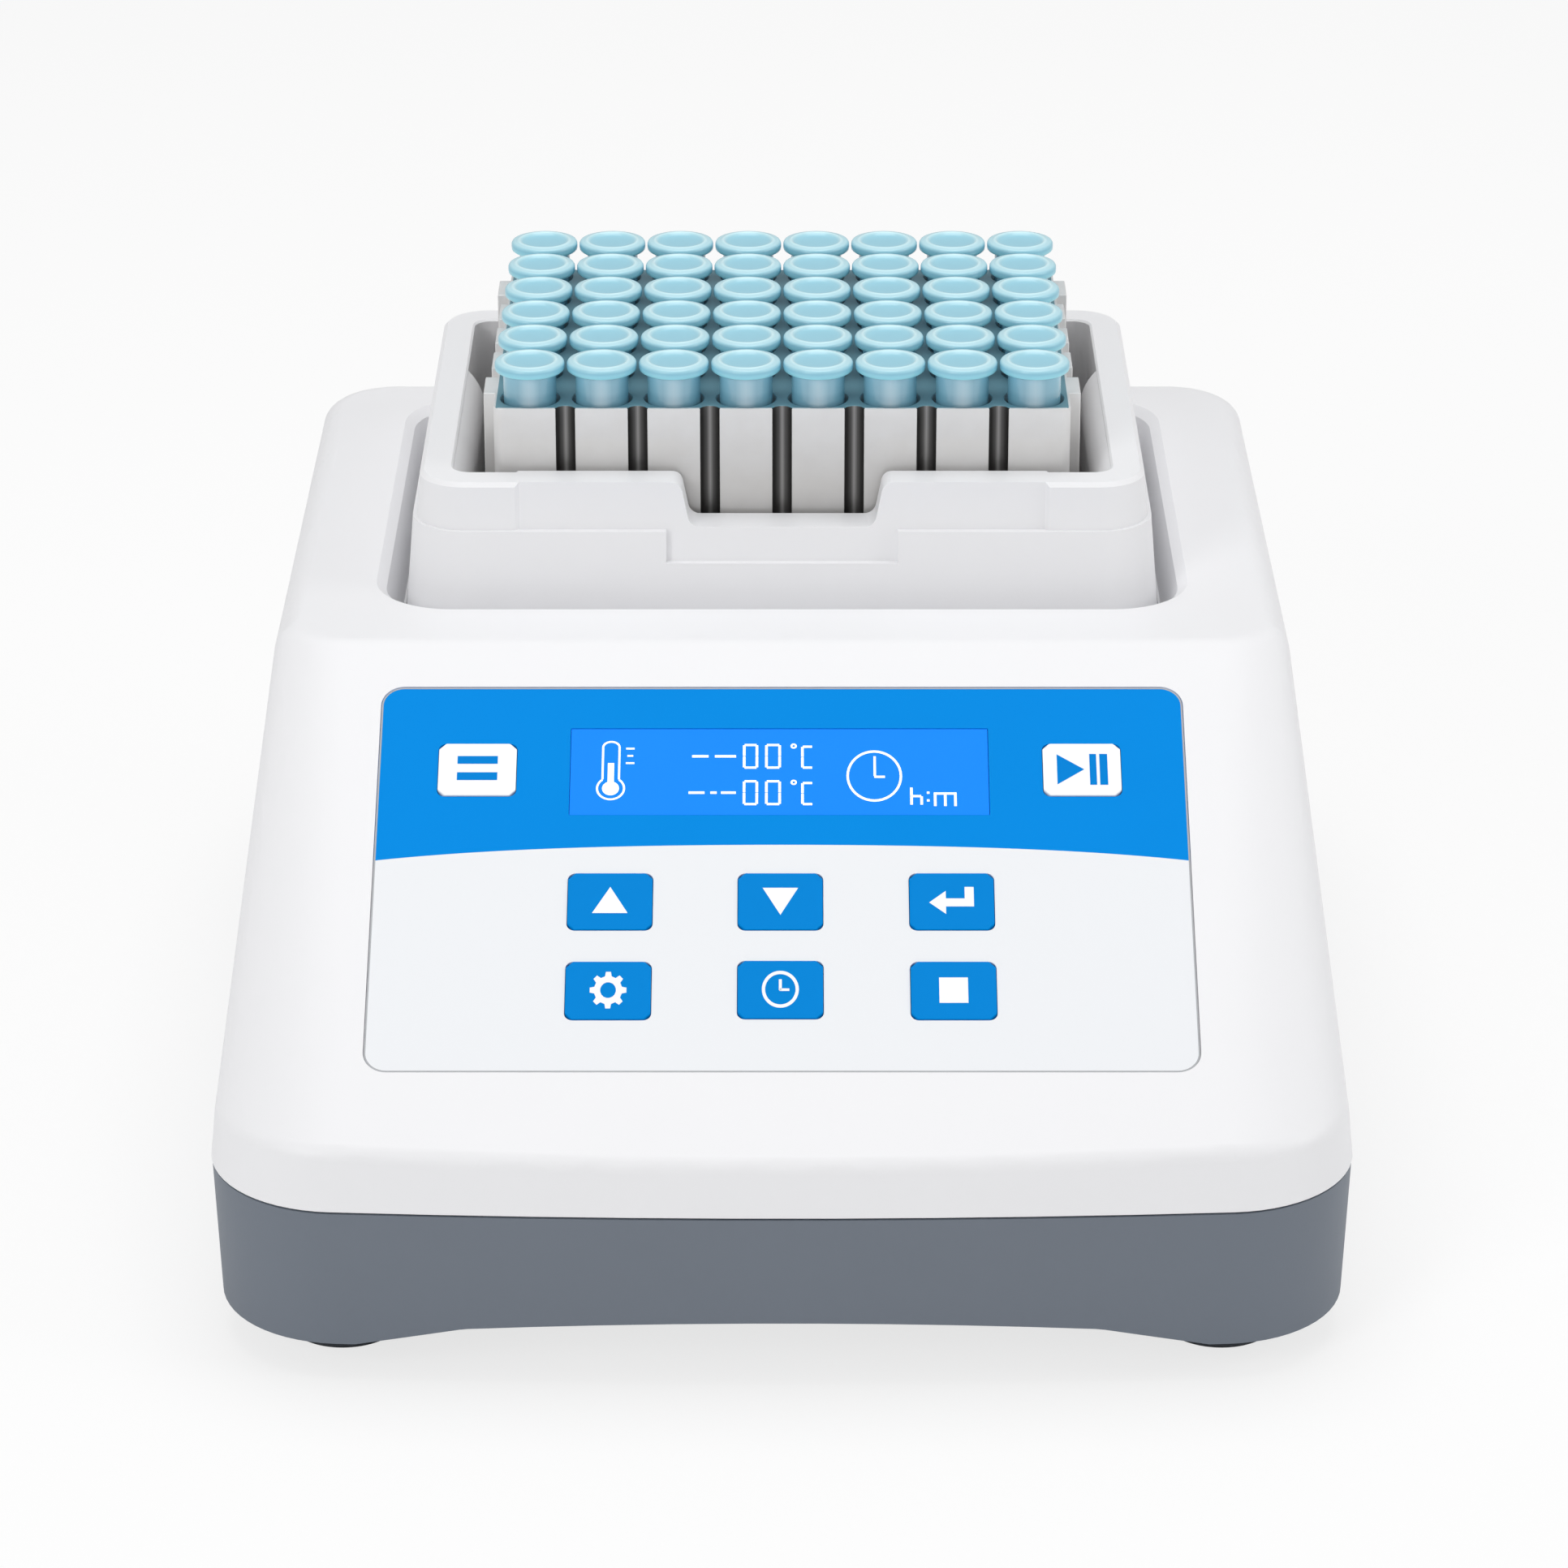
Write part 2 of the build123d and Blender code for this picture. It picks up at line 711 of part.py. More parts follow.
with BuildPart() as block_collar:
    # Lower skirt, with its ledge lowered in the front middle
    with BuildSketch(Plane.XY.offset(carrier_top)):
        add(collar_plan(carrier_top, ledge_width))
    extrude(amount=ledge_height - carrier_top, taper=collar_draft)
    with BuildSketch(Plane.XY.offset(ledge_height - ledge_drop)):
        with Locations((0, collar_front_y - collar_rim_width)):
            Rectangle(2 * ledge_drop_half, 4 * collar_rim_width)
    extrude(amount=ledge_drop, mode=Mode.SUBTRACT)
    # Band up to the rim
    with BuildSketch(Plane.XY.offset(carrier_top)):
        add(collar_plan(carrier_top, 0))
    extrude(amount=collar_rim_height - carrier_top, taper=collar_draft)
    chamfer(block_collar.faces().sort_by(Axis.Z)[-1].edges(), rim_chamfer)
    # The front of the band is set in between two slanted steps
    band_length = (collar_rim_height - ledge_height) / cos(radians(collar_draft))
    for level, half in ((0, set_in_half), (-set_in, set_in_half - set_in_slant)):
        with BuildSketch(collar_front.offset(level)):
            with Locations((0, 0)):
                Rectangle(2 * half, 2 * band_length)
    loft(mode=Mode.SUBTRACT)
    drop_length = (collar_rim_height - ledge_height + ledge_drop) / cos(radians(collar_draft))
    with BuildSketch(collar_front.offset(-set_in)):
        Rectangle(2 * ledge_drop_half, 2 * drop_length)
    extrude(amount=set_in, mode=Mode.SUBTRACT)
    # Hollow between the walls, and the opening for the block
    add(collar_space.part, mode=Mode.SUBTRACT)
    with BuildSketch(Plane.XY.offset(carrier_top)):
        add(around_block(opening_half_width, opening_half_depth, collar_inner_corner))
    extrude(amount=collar_rim_height - carrier_top, mode=Mode.SUBTRACT)
    with BuildSketch(Plane.XY.offset(block_bottom + guide_thickness)):
        with Locations((0, well_centre_y - opening_half_depth)):
            Rectangle(2 * set_in_half, 2 * set_in)
    extrude(amount=collar_rim_height - block_bottom - guide_thickness)
    chamfer(block_collar.faces().sort_by(Axis.Z)[-1].inner_wires()[0].edges(), rim_chamfer / 2)
    # Guides for the block inside both side walls, arched at the top
    for side in (-1, 1):
        wall = side * opening_half_width
        inner = side * (opening_half_width - guide_thickness)
        guide_top = collar_rim_height - rim_chamfer
        with BuildSketch(Plane.XZ.offset(-(well_centre_y - opening_half_depth))):
            with BuildLine():
                Polyline(
                    (wall, guide_top),
                    (wall, guide_low - guide_thickness),
                    (inner, guide_low),
                    (inner, guide_top - guide_shoulder),
                )
                ThreePointArc(
                    (inner, guide_top - guide_shoulder),
                    (inner + side * guide_thickness * 0.33, guide_top - guide_shoulder * 0.28),
                    (wall, guide_top),
                )
            make_face()
        extrude(amount=-guide_reach)
    # Finger notch in the front of the rim
    with BuildSketch(Plane.XZ) as notch:
        with BuildLine():
            Polyline(
                (-notch_half - 6, collar_rim_height + 2),
                (-notch_half - 6, collar_rim_height),
                (-notch_half - notch_slant, collar_rim_height),
                (-notch_half, collar_rim_height - notch_depth),
                (notch_half, collar_rim_height - notch_depth),
                (notch_half + notch_slant, collar_rim_height),
                (notch_half + 6, collar_rim_height),
                (notch_half + 6, collar_rim_height + 2),
                (-notch_half - 6, collar_rim_height + 2),
            )
        make_face()
        bottom_corners = notch.vertices().group_by(Axis.Y)[0]
        fillet(bottom_corners, notch_round)
        rim_corners = notch.vertices().filter_by_position(
            Axis.Y, collar_rim_height - 0.1, collar_rim_height + 0.1
        ).filter_by_position(Axis.X, -notch_half - 3, notch_half + 3)
        fillet(rim_corners, notch_round)
    extrude(amount=well_centre_y - opening_half_depth + collar_skin, both=True, mode=Mode.SUBTRACT)
save(block_collar.part, "block_collar")

# Heating block: 48 wells, a half-round groove between the columns, and side lands
with BuildPart() as tube_well:
    with BuildSketch():
        many_sided(tube_well_radius, round_sides)
    extrude(amount=-tube_well_straight - tube_well_cone)
    well_end = tube_well.faces().sort_by(Axis.Z)[0]
    chamfer(well_end.edges(), tube_well_radius - tube_well_tip, tube_well_cone, reference=well_end)

first_x = -(columns - 1) * column_pitch / 2
with BuildPart() as heating_block:
    with BuildSketch(Plane.XY.offset(block_bottom)):
        add(around_block(block_width / 2, block_depth / 2, block_corner))
        for place in range(rows - 1):
            offset = (place - (rows - 2) / 2) * row_pitch
            outer = place in (0, rows - 2)
            proud = lug_proud if outer else land_proud
            with Locations((0, well_centre_y + offset)):
                Rectangle(block_width + 2 * proud, land_width)
        for place in range(columns - 1):
            groove_x = first_x + (place + 0.5) * column_pitch
            with Locations(
                (groove_x, well_centre_y - block_depth / 2),
                (groove_x, well_centre_y + block_depth / 2),
            ):
                RegularPolygon(
                    radius=groove_radius,
                    side_count=boss_sides,
                    major_radius=True,
                    mode=Mode.SUBTRACT,
                )
    extrude(amount=block_height)
    with Locations((0, well_centre_y, block_top)):
        with GridLocations(column_pitch, row_pitch, columns, rows):
            add(tube_well.part, mode=Mode.SUBTRACT)
save(heating_block.part, "heating_block")

# Tubes and lids, one row of eight at a time, from the front
tube_shoulder = block_top - tube_well_straight + tube_seat_gap
tube_top = block_top + tube_above_block
with BuildPart() as tube:
    with BuildSketch():
        many_sided(tube_radius, round_sides)
    extrude(amount=tube_top - tube_shoulder + tube_well_cone)
    tube_end = tube.faces().sort_by(Axis.Z)[0]
    chamfer(tube_end.edges(), tube_radius - tube_tip_radius, tube_well_cone, reference=tube_end)

for row in range(rows):
    row_y = well_centre_y + (row - (rows - 1) / 2) * row_pitch
    with BuildPart() as tubes:
        with Locations((0, row_y, tube_shoulder - tube_well_cone)):
            with GridLocations(column_pitch, 0, columns, 1):
                add(tube.part)
    save(tubes.part, "tubes_row_" + str(row + 1))
    with BuildPart() as lids:
        with BuildSketch(Plane.XY.offset(tube_top)):
            with Locations((0, row_y)):
                with GridLocations(column_pitch, 0, columns, 1):
                    many_sided(lid_radius, round_sides)
        extrude(amount=lid_height)
    save(lids.part, "lids_row_" + str(row + 1))

# Heater stack under the block
with BuildPart() as heating_plate:
    with BuildSketch(Plane.XY.offset(mat_top)):
        with Locations((0, well_centre_y)):
            add(cut_corners(heater_width, heater_depth, block_corner))
    extrude(amount=plate_thickness)
    bore = Plane(
        origin=(-heater_width / 2, well_centre_y, mat_top + plate_thickness / 2),
        z_dir=(1, 0, 0),
    )
    with BuildSketch(bore):
        many_sided(sensor_radius, screw_sides)
    extrude(amount=sensor_length, mode=Mode.SUBTRACT)
save(heating_plate.part, "heating_plate")

with BuildPart() as temperature_sensor:
    with BuildSketch(bore.offset(-sensor_tail)):
        many_sided(sensor_radius, screw_sides)
    extrude(amount=sensor_length + sensor_tail)
save(temperature_sensor.part, "temperature_sensor")

with BuildPart() as heater_mat:
    with BuildSketch(Plane.XY.offset(insulation_top)):
        with Locations((0, well_centre_y)):
            add(cut_corners(heater_width, heater_depth, block_corner))
    extrude(amount=mat_thickness)
save(heater_mat.part, "heater_mat")

with BuildPart() as insulation_board:
    with BuildSketch(Plane.XY.offset(carrier_top)):
        with Locations((0, well_centre_y)):
            add(cut_corners(
                2 * (opening_half_width - insulation_clearance),
                2 * (opening_half_depth - insulation_clearance),
                collar_inner_corner,
            ))
    extrude(amount=insulation_thickness)
    with BuildSketch(Plane.XY.offset(carrier_top)):
        with Locations((0, well_centre_y)):
            many_sided(cutout_radius + cutout_clearance, boss_sides)
    extrude(amount=insulation_thickness, mode=Mode.SUBTRACT)
save(insulation_board.part, "insulation_board")

with BuildPart() as thermal_cutout:
    with BuildSketch(Plane.XY.offset(insulation_top - cutout_height)):
        with Locations((0, well_centre_y)):
            many_sided(cutout_radius, boss_sides)
    extrude(amount=cutout_height)
save(thermal_cutout.part, "thermal_cutout")

# Carrier frame: sheet table on two folded legs that carries the heater stack and the collar
with BuildPart() as carrier_frame:
    with BuildSketch(Plane.XY.offset(carrier_bottom)):
        with Locations((0, well_centre_y)):
            Rectangle(2 * carrier_half_width, 2 * carrier_half_depth)
    extrude(amount=carrier_sheet)
    leg_x = carrier_half_width - carrier_sheet / 2
    with BuildSketch(Plane.XY.offset(floor_top)):
        with Locations((-leg_x, well_centre_y), (leg_x, well_centre_y)):
            Rectangle(carrier_sheet, 2 * carrier_leg_half)
    extrude(amount=carrier_bottom - floor_top)
    with BuildSketch(Plane.XY.offset(floor_top)):
        with Locations((-carrier_screw_x, well_centre_y), (carrier_screw_x, well_centre_y)):
            Rectangle(carrier_flange, 2 * carrier_leg_half)
        with Locations(*carrier_screw_places):
            RegularPolygon(
                radius=screw_radius + screw_clearance,
                side_count=screw_sides,
                major_radius=True,
                mode=Mode.SUBTRACT,
            )
    extrude(amount=carrier_sheet)
save(carrier_frame.part, "carrier_frame")

# Panel overlay: a thin sheet in the recess, open at the keys and the display
with BuildPart() as control_overlay:
    with BuildSketch(face.offset(-recess_depth)):
        with Locations((0, (panel_low + panel_high) / 2)):
            RectangleRounded(
                panel_width - 2 * overlay_clearance,
                panel_high - panel_low - 2 * overlay_clearance,
                panel_corner - overlay_clearance,
            )
        for key_name, key_x, key_up, white in key_places:
            width, height = key_size(white)
            with Locations((key_x, key_up)):
                Rectangle(width + 2 * key_clearance, height + 2 * key_clearance, mode=Mode.SUBTRACT)
        with Locations((lcd_x, lcd_up)):
            Rectangle(
                lcd_width + 2 * panel_clearance,
                lcd_height + 2 * panel_clearance,
                mode=Mode.SUBTRACT,
            )
    extrude(amount=overlay_thickness)
save(control_overlay.part, "control_overlay")

# Display lens, with a flange behind the cover's wall
overlay_level = overlay_thickness - recess_depth
with BuildPart() as lcd_window:
    with BuildSketch(face.offset(-cover_wall)):
        with Locations((lcd_x, lcd_up)):
            Rectangle(lcd_width, lcd_height)
    extrude(amount=cover_wall + overlay_level - lens_sunk)
    with BuildSketch(face.offset(-cover_wall)):
        with Locations((lcd_x, lcd_up)):
            Rectangle(lcd_width + 2 * lens_flange, lcd_height + 2 * lens_flange)
    extrude(amount=-lens_flange_thickness)
save(lcd_window.part, "lcd_window")

# Display module between the lens and the key board
with BuildPart() as lcd_module:
    with BuildSketch(face.offset(board_level)):
        with Locations((lcd_x, lcd_up)):
            Rectangle(lcd_width + 2 * module_margin, lcd_height + 2 * module_margin)
    extrude(amount=-board_level - cover_wall - lens_flange_thickness)
save(lcd_module.part, "lcd_module")

# Keys: each cap passes through the cover and has a flange and a stem behind it
for key_name, key_x, key_up, white in key_places:
    width, height = key_size(white)
    flange_front = -(cover_wall + key_seat_gap)
    with BuildPart() as key:
        with BuildSketch(face.offset(flange_front)):
            with Locations((key_x, key_up)):
                add(cut_corners(width, height, key_corner))
        extrude(amount=overlay_level + key_proud - flange_front)
        with BuildSketch(face.offset(flange_front)):
            with Locations((key_x, key_up)):
                Rectangle(width + 2 * key_flange, height + 2 * key_flange)
        extrude(amount=-key_flange_thickness)
        with BuildSketch(face.offset(flange_front - key_flange_thickness)):
            with Locations((key_x, key_up)):
                many_sided(key_stem_radius, screw_sides)
        extrude(amount=-key_stem_length)
    save(key.part, key_name)

# Key board with one switch behind each key
with BuildPart() as key_board:
    with BuildSketch(face.offset(board_level)):
        with Locations((0, board_middle)):
            Rectangle(key_board_width, board_high - board_low)
        for place in pillar_places:
            with Locations(place):
                RegularPolygon(
                    radius=screw_radius + screw_clearance,
                    side_count=screw_sides,
                    major_radius=True,
                    mode=Mode.SUBTRACT,
                )
    extrude(amount=-board_thickness)
save(key_board.part, "key_board")

with BuildPart() as key_switches:
    with BuildSketch(face.offset(board_level)):
        for key_name, key_x, key_up, white in key_places:
            with Locations((key_x, key_up)):
                Rectangle(switch_side, switch_side)
    extrude(amount=switch_height)
save(key_switches.part, "key_switches")

# Main board on its standoffs, and the power supply on the floor
with BuildPart() as main_board:
    with BuildSketch(Plane.XY.offset(floor_top + standoff_height)):
        with Locations((0, main_board_y)):
            Rectangle(main_board_width, main_board_depth)
        for place in standoff_places:
            with Locations(place):
                RegularPolygon(
                    radius=screw_radius + screw_clearance,
                    side_count=screw_sides,
                    major_radius=True,
                    mode=Mode.SUBTRACT,
                )
    extrude(amount=board_thickness)
save(main_board.part, "main_board")

with BuildPart() as power_supply:
    with BuildSketch(Plane.XY.offset(floor_top)):
        with Locations((0, supply_y)):
            Rectangle(supply_width, supply_depth)
    extrude(amount=supply_height)
    chamfer(power_supply.edges().filter_by(Axis.Z), 2)
save(power_supply.part, "power_supply")

# Mains inlet: flange outside the rear wall, body behind it, socket recess and drawer space
blade_places = [
    (-inlet_x - blade_spread, socket_up - blade_rise),
    (-inlet_x + blade_spread, socket_up - blade_rise),
    (-inlet_x, socket_up + blade_rise),
]
outer_face = rear_face.offset(inlet_flange_thickness)
with BuildPart() as power_inlet:
    with BuildSketch(rear_face):
        with Locations((-inlet_x, 0)):
            add(cut_corners(inlet_flange_width, inlet_flange_height, 1.5))
    extrude(amount=inlet_flange_thickness)
    with BuildSketch(rear_face):
        with Locations((-inlet_x, 0)):
            Rectangle(inlet_body_width, inlet_body_height)
    extrude(amount=-inlet_body_depth)
    with BuildSketch(outer_face) as socket:
        with Locations((-inlet_x, socket_up)):
            Rectangle(socket_width, socket_height)
        chamfer(socket.vertices().group_by(Axis.Y)[-1], socket_corner)
    extrude(amount=-socket_depth, mode=Mode.SUBTRACT)
    with BuildSketch(outer_face):
        with Locations((-inlet_x, drawer_up)):
            Rectangle(drawer_width, drawer_height)
    extrude(amount=-(drawer_depth + drawer_clearance), mode=Mode.SUBTRACT)
    with BuildSketch(outer_face.offset(-socket_depth)):
        with Locations(*blade_places):
            Rectangle(blade_thickness, blade_width)
    extrude(amount=-inlet_body_depth, mode=Mode.SUBTRACT)
save(power_inlet.part, "power_inlet")

with BuildPart() as inlet_blades:
    with BuildSketch(outer_face.offset(-socket_depth)):
        with Locations(*blade_places):
            Rectangle(blade_thickness, blade_width)
    extrude(amount=blade_length)
    with BuildSketch(outer_face.offset(-socket_depth)):
        with Locations(*blade_places):
            Rectangle(blade_thickness, blade_width)
    extrude(amount=-(inlet_body_depth + inlet_flange_thickness - socket_depth + blade_tail))
save(inlet_blades.part, "inlet_blades")

# Fuse drawer under the socket, with two fuses lying across it
fuse_pitch = 2 * fuse_radius + 1.4
fuse_back = [-(5.0 + fuse_radius), -(5.0 + fuse_radius + fuse_pitch)]
with BuildPart() as fuse_drawer:
    with BuildSketch(outer_face):
        with Locations((-inlet_x, drawer_up)):
            Rectangle(drawer_width - 2 * drawer_clearance, drawer_height - 2 * drawer_clearance)
    extrude(amount=-drawer_depth)
    with BuildSketch(outer_face):
        with Locations((-inlet_x, drawer_up)):
            Rectangle(drawer_width / 2, 2)
    extrude(amount=drawer_lip)
    for back in fuse_back:
        with BuildSketch(outer_face.offset(back - fuse_radius - fuse_clearance)):
            with Locations((-inlet_x, drawer_up + fuse_radius)):
                Rectangle(fuse_length + 2 * fuse_clearance, 4 * fuse_radius)
        extrude(amount=2 * (fuse_radius + fuse_clearance), mode=Mode.SUBTRACT)
save(fuse_drawer.part, "fuse_drawer")

with BuildPart() as fuses:
    for back in fuse_back:
        middle = outer_face.offset(back).from_local_coords((-inlet_x, drawer_up, 0))
        lying = Plane(origin=middle, x_dir=rear_face.z_dir, z_dir=(1, 0, 0))
        with BuildSketch(lying):
            RegularPolygon(radius=fuse_radius, side_count=round_sides, major_radius=True)
        extrude(amount=fuse_length / 2, both=True)
save(fuses.part, "fuses")

# Power rocker and its body; the rocker turns about an axis across the rear panel
rocker_face = rear_face.offset(rocker_frame_thickness)
pivot = rocker_face.offset(-rocker_pivot_depth).from_local_coords((-rocker_x, 0, 0))
rocker_side = Plane(origin=pivot, x_dir=rear_face.z_dir, z_dir=(1, 0, 0))
with BuildPart() as rocker_body:
    with BuildSketch(rear_face):
        with Locations((-rocker_x, 0)):
            add(cut_corners(rocker_frame_width, rocker_frame_height, 1.5))
    extrude(amount=rocker_frame_thickness)
    with BuildSketch(rear_face):
        with Locations((-rocker_x, 0)):
            Rectangle(rocker_body_width, rocker_body_height)
    extrude(amount=-rocker_body_depth)
    with BuildSketch(rocker_side):
        Circle(rocker_radius + rocker_clearance)
        with Locations(((rocker_pivot_depth + 1) / 2, 0)):
            Rectangle(rocker_pivot_depth + 1, 2 * (rocker_radius + rocker_clearance))
    extrude(amount=rocker_thickness / 2 + rocker_clearance, both=True, mode=Mode.SUBTRACT)
save(rocker_body.part, "rocker_body")

raised = tan(radians(rocker_fold + rocker_throw))
level_side = tan(radians(rocker_fold - rocker_throw))
crown = rocker_pivot_depth + rocker_crown
with BuildPart() as power_rocker:
    with BuildSketch(rocker_side):
        Circle(rocker_radius)
        with BuildLine():
            Polyline(
                (crown, 0),
                (crown + 2 * rocker_radius * raised, 2 * rocker_radius),
                (3 * rocker_radius, 2 * rocker_radius),
                (3 * rocker_radius, -2 * rocker_radius),
                (crown + 2 * rocker_radius * level_side, -2 * rocker_radius),
                (crown, 0),
            )
        make_face(mode=Mode.SUBTRACT)
    extrude(amount=rocker_thickness / 2, both=True)
save(power_rocker.part, "power_rocker")
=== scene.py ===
# %% [markdown]
# A dry bath incubator, dressed for its picture.
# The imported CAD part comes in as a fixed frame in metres. This file gives every node a finish, and
# builds finer meshes for the few pieces whose round or rolled forms the frame holds only with flats.

# %% Load the frame
import json
from math import atan2, cos, degrees, pi, radians, sin

import bmesh
import bpy
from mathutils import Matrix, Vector


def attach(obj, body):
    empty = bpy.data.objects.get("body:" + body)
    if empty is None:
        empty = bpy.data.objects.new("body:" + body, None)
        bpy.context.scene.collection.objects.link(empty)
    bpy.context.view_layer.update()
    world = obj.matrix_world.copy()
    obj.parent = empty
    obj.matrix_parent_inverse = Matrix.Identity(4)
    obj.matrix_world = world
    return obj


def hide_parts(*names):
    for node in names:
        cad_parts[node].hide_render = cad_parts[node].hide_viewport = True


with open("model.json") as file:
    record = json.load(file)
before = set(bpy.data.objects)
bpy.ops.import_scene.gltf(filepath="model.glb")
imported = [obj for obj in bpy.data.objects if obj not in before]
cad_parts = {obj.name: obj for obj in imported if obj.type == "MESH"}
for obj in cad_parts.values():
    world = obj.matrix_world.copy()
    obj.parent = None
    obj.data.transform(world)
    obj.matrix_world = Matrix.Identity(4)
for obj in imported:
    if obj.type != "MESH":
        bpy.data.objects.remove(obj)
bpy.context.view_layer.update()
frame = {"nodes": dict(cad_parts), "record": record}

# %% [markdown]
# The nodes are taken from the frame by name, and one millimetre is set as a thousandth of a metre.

nodes = frame["nodes"]
mm = 0.001
print("nodes", len(nodes))

# %% [markdown]
# The control face leans back by about 30 degrees. Everything printed on it is easiest to place in the
# face's own measures: x to the right, a distance up the slope from the crease, and a height out of it.

# %% Sizes taken from the design, in millimetres
crease_y = -128.417
crease_height = 45.3
slope_angle = atan2(59.9, 103.0)
panel_low = 20.25
panel_high = 107.65
panel_half = 76.15
film_level = -0.2
key_level = 0.05
lens_level = -0.3
well_centre_y = 51.0
column_pitch = 14.1
row_pitch = 14.9
columns = 8
rows = 6
block_top = 140.3
block_bottom = 95.3
block_half_x = 56.35
block_half_y = 43.55
groove_spread = 2.0
tube_radius = 5.2
tube_top = 146.2
lid_height = 2.2
print("the control face leans back", round(degrees(slope_angle), 1), "degrees from level")


def on_face(x, up, out):
    """A point of the control face, in metres"""
    y = crease_y + up * cos(slope_angle) - out * sin(slope_angle)
    z = crease_height + up * sin(slope_angle) + out * cos(slope_angle)
    return Vector((x, y, z)) * mm


def upright(x, y, z):
    """A point given in millimetres, in metres"""
    return Vector((x, y, z)) * mm


# %% [markdown]
# Many small pieces repeat: 48 tubes, 48 lids, a dozen signs. A collector of points and faces keeps each
# kind in one mesh, which is lighter than one object each and quicker than calling operators.

# %% A collector for points and faces
class Shape:
    """Points and faces of one mesh, gathered ring by ring"""

    def __init__(self):
        self.points = []
        self.faces = []

    def ring(self, points):
        start = len(self.points)
        self.points += points
        return list(range(start, len(self.points)))

    def band(self, lower, upper):
        count = len(lower)
        for i in range(count):
            j = (i + 1) % count
            self.faces.append((lower[i], lower[j], upper[j], upper[i]))

    def prism(self, outline, low, high, place):
        """A flat outline given thickness"""
        bottom = self.ring([place(x, y, low) for x, y in outline])
        top = self.ring([place(x, y, high) for x, y in outline])
        self.band(bottom, top)
        self.faces.append(tuple(top))
        self.faces.append(tuple(reversed(bottom)))

    def turned(self, profile, x, y, steps):
        """A profile of radius and height turned round a vertical axis"""
        rings = []
        turns = [2 * pi * i / steps for i in range(steps)]
        for radius, height in profile:
            circle_points = [upright(x + radius * cos(a), y + radius * sin(a), height) for a in turns]
            rings.append(self.ring(circle_points))
        for lower, upper in zip(rings, rings[1:]):
            self.band(lower, upper)
        self.faces.append(tuple(reversed(rings[0])))
        self.faces.append(tuple(rings[-1]))

    def make(self, name, sharp=40):
        """The finished mesh object, smooth except at edges sharper than the angle"""
        mesh = bpy.data.meshes.new(name)
        mesh.from_pydata([tuple(p) for p in self.points], [], self.faces)
        work = bmesh.new()
        work.from_mesh(mesh)
        bmesh.ops.recalc_face_normals(work, faces=work.faces)
        work.to_mesh(mesh)
        work.free()
        mesh.shade_smooth()
        mesh.set_sharp_from_angle(angle=radians(sharp))
        made = bpy.data.objects.new(name, mesh)
        bpy.context.scene.collection.objects.link(made)
        return made


# %% [markdown]
# Materials are made of nodes, and sums of nodes are hard to read. A small class wraps a socket and takes part
# in Python sums, so that a mask reads as one line. Each sign it knows adds one Math node.

# %% Shader maths as expressions
class Value:
    """A shader socket that takes part in Python sums"""

    def __init__(self, finish, socket):
        self.finish = finish
        self.socket = socket

    def maths(self, operation, *others):
        return self.finish.node("ShaderNodeMath", {"operation": operation}, dict(enumerate(others)))

    def __add__(self, other):
        return self.maths("ADD", self, other)

    def __radd__(self, other):
        return self.maths("ADD", other, self)

    def __sub__(self, other):
        return self.maths("SUBTRACT", self, other)

    def __rsub__(self, other):
        return self.maths("SUBTRACT", other, self)

    def __mul__(self, other):
        return self.maths("MULTIPLY", self, other)

    def __rmul__(self, other):
        return self.maths("MULTIPLY", other, self)

    def __abs__(self):
        return self.maths("ABSOLUTE", self)

    def part(self):
        """What is left after the whole number"""
        return self.maths("FRACT", self)

    def __gt__(self, other):
        return self.maths("GREATER_THAN", self, other)

    def __lt__(self, other):
        return self.maths("LESS_THAN", self, other)


# %% [markdown]
# A finish on this object is a base colour that drifts a little, a roughness, and a fine bump. One class holds
# the material and one method adds any node, so each finish below takes only two or three lines.

# %% A finish and its nodes
def srgb(red, green, blue):
    """A colour as seen on a screen, 0 to 255, turned into the linear values that shaders use"""
    shares = [c / 255 for c in (red, green, blue)]
    return [c / 12.92 if c <= 0.04045 else ((c + 0.055) / 1.055) ** 2.4 for c in shares] + [1.0]


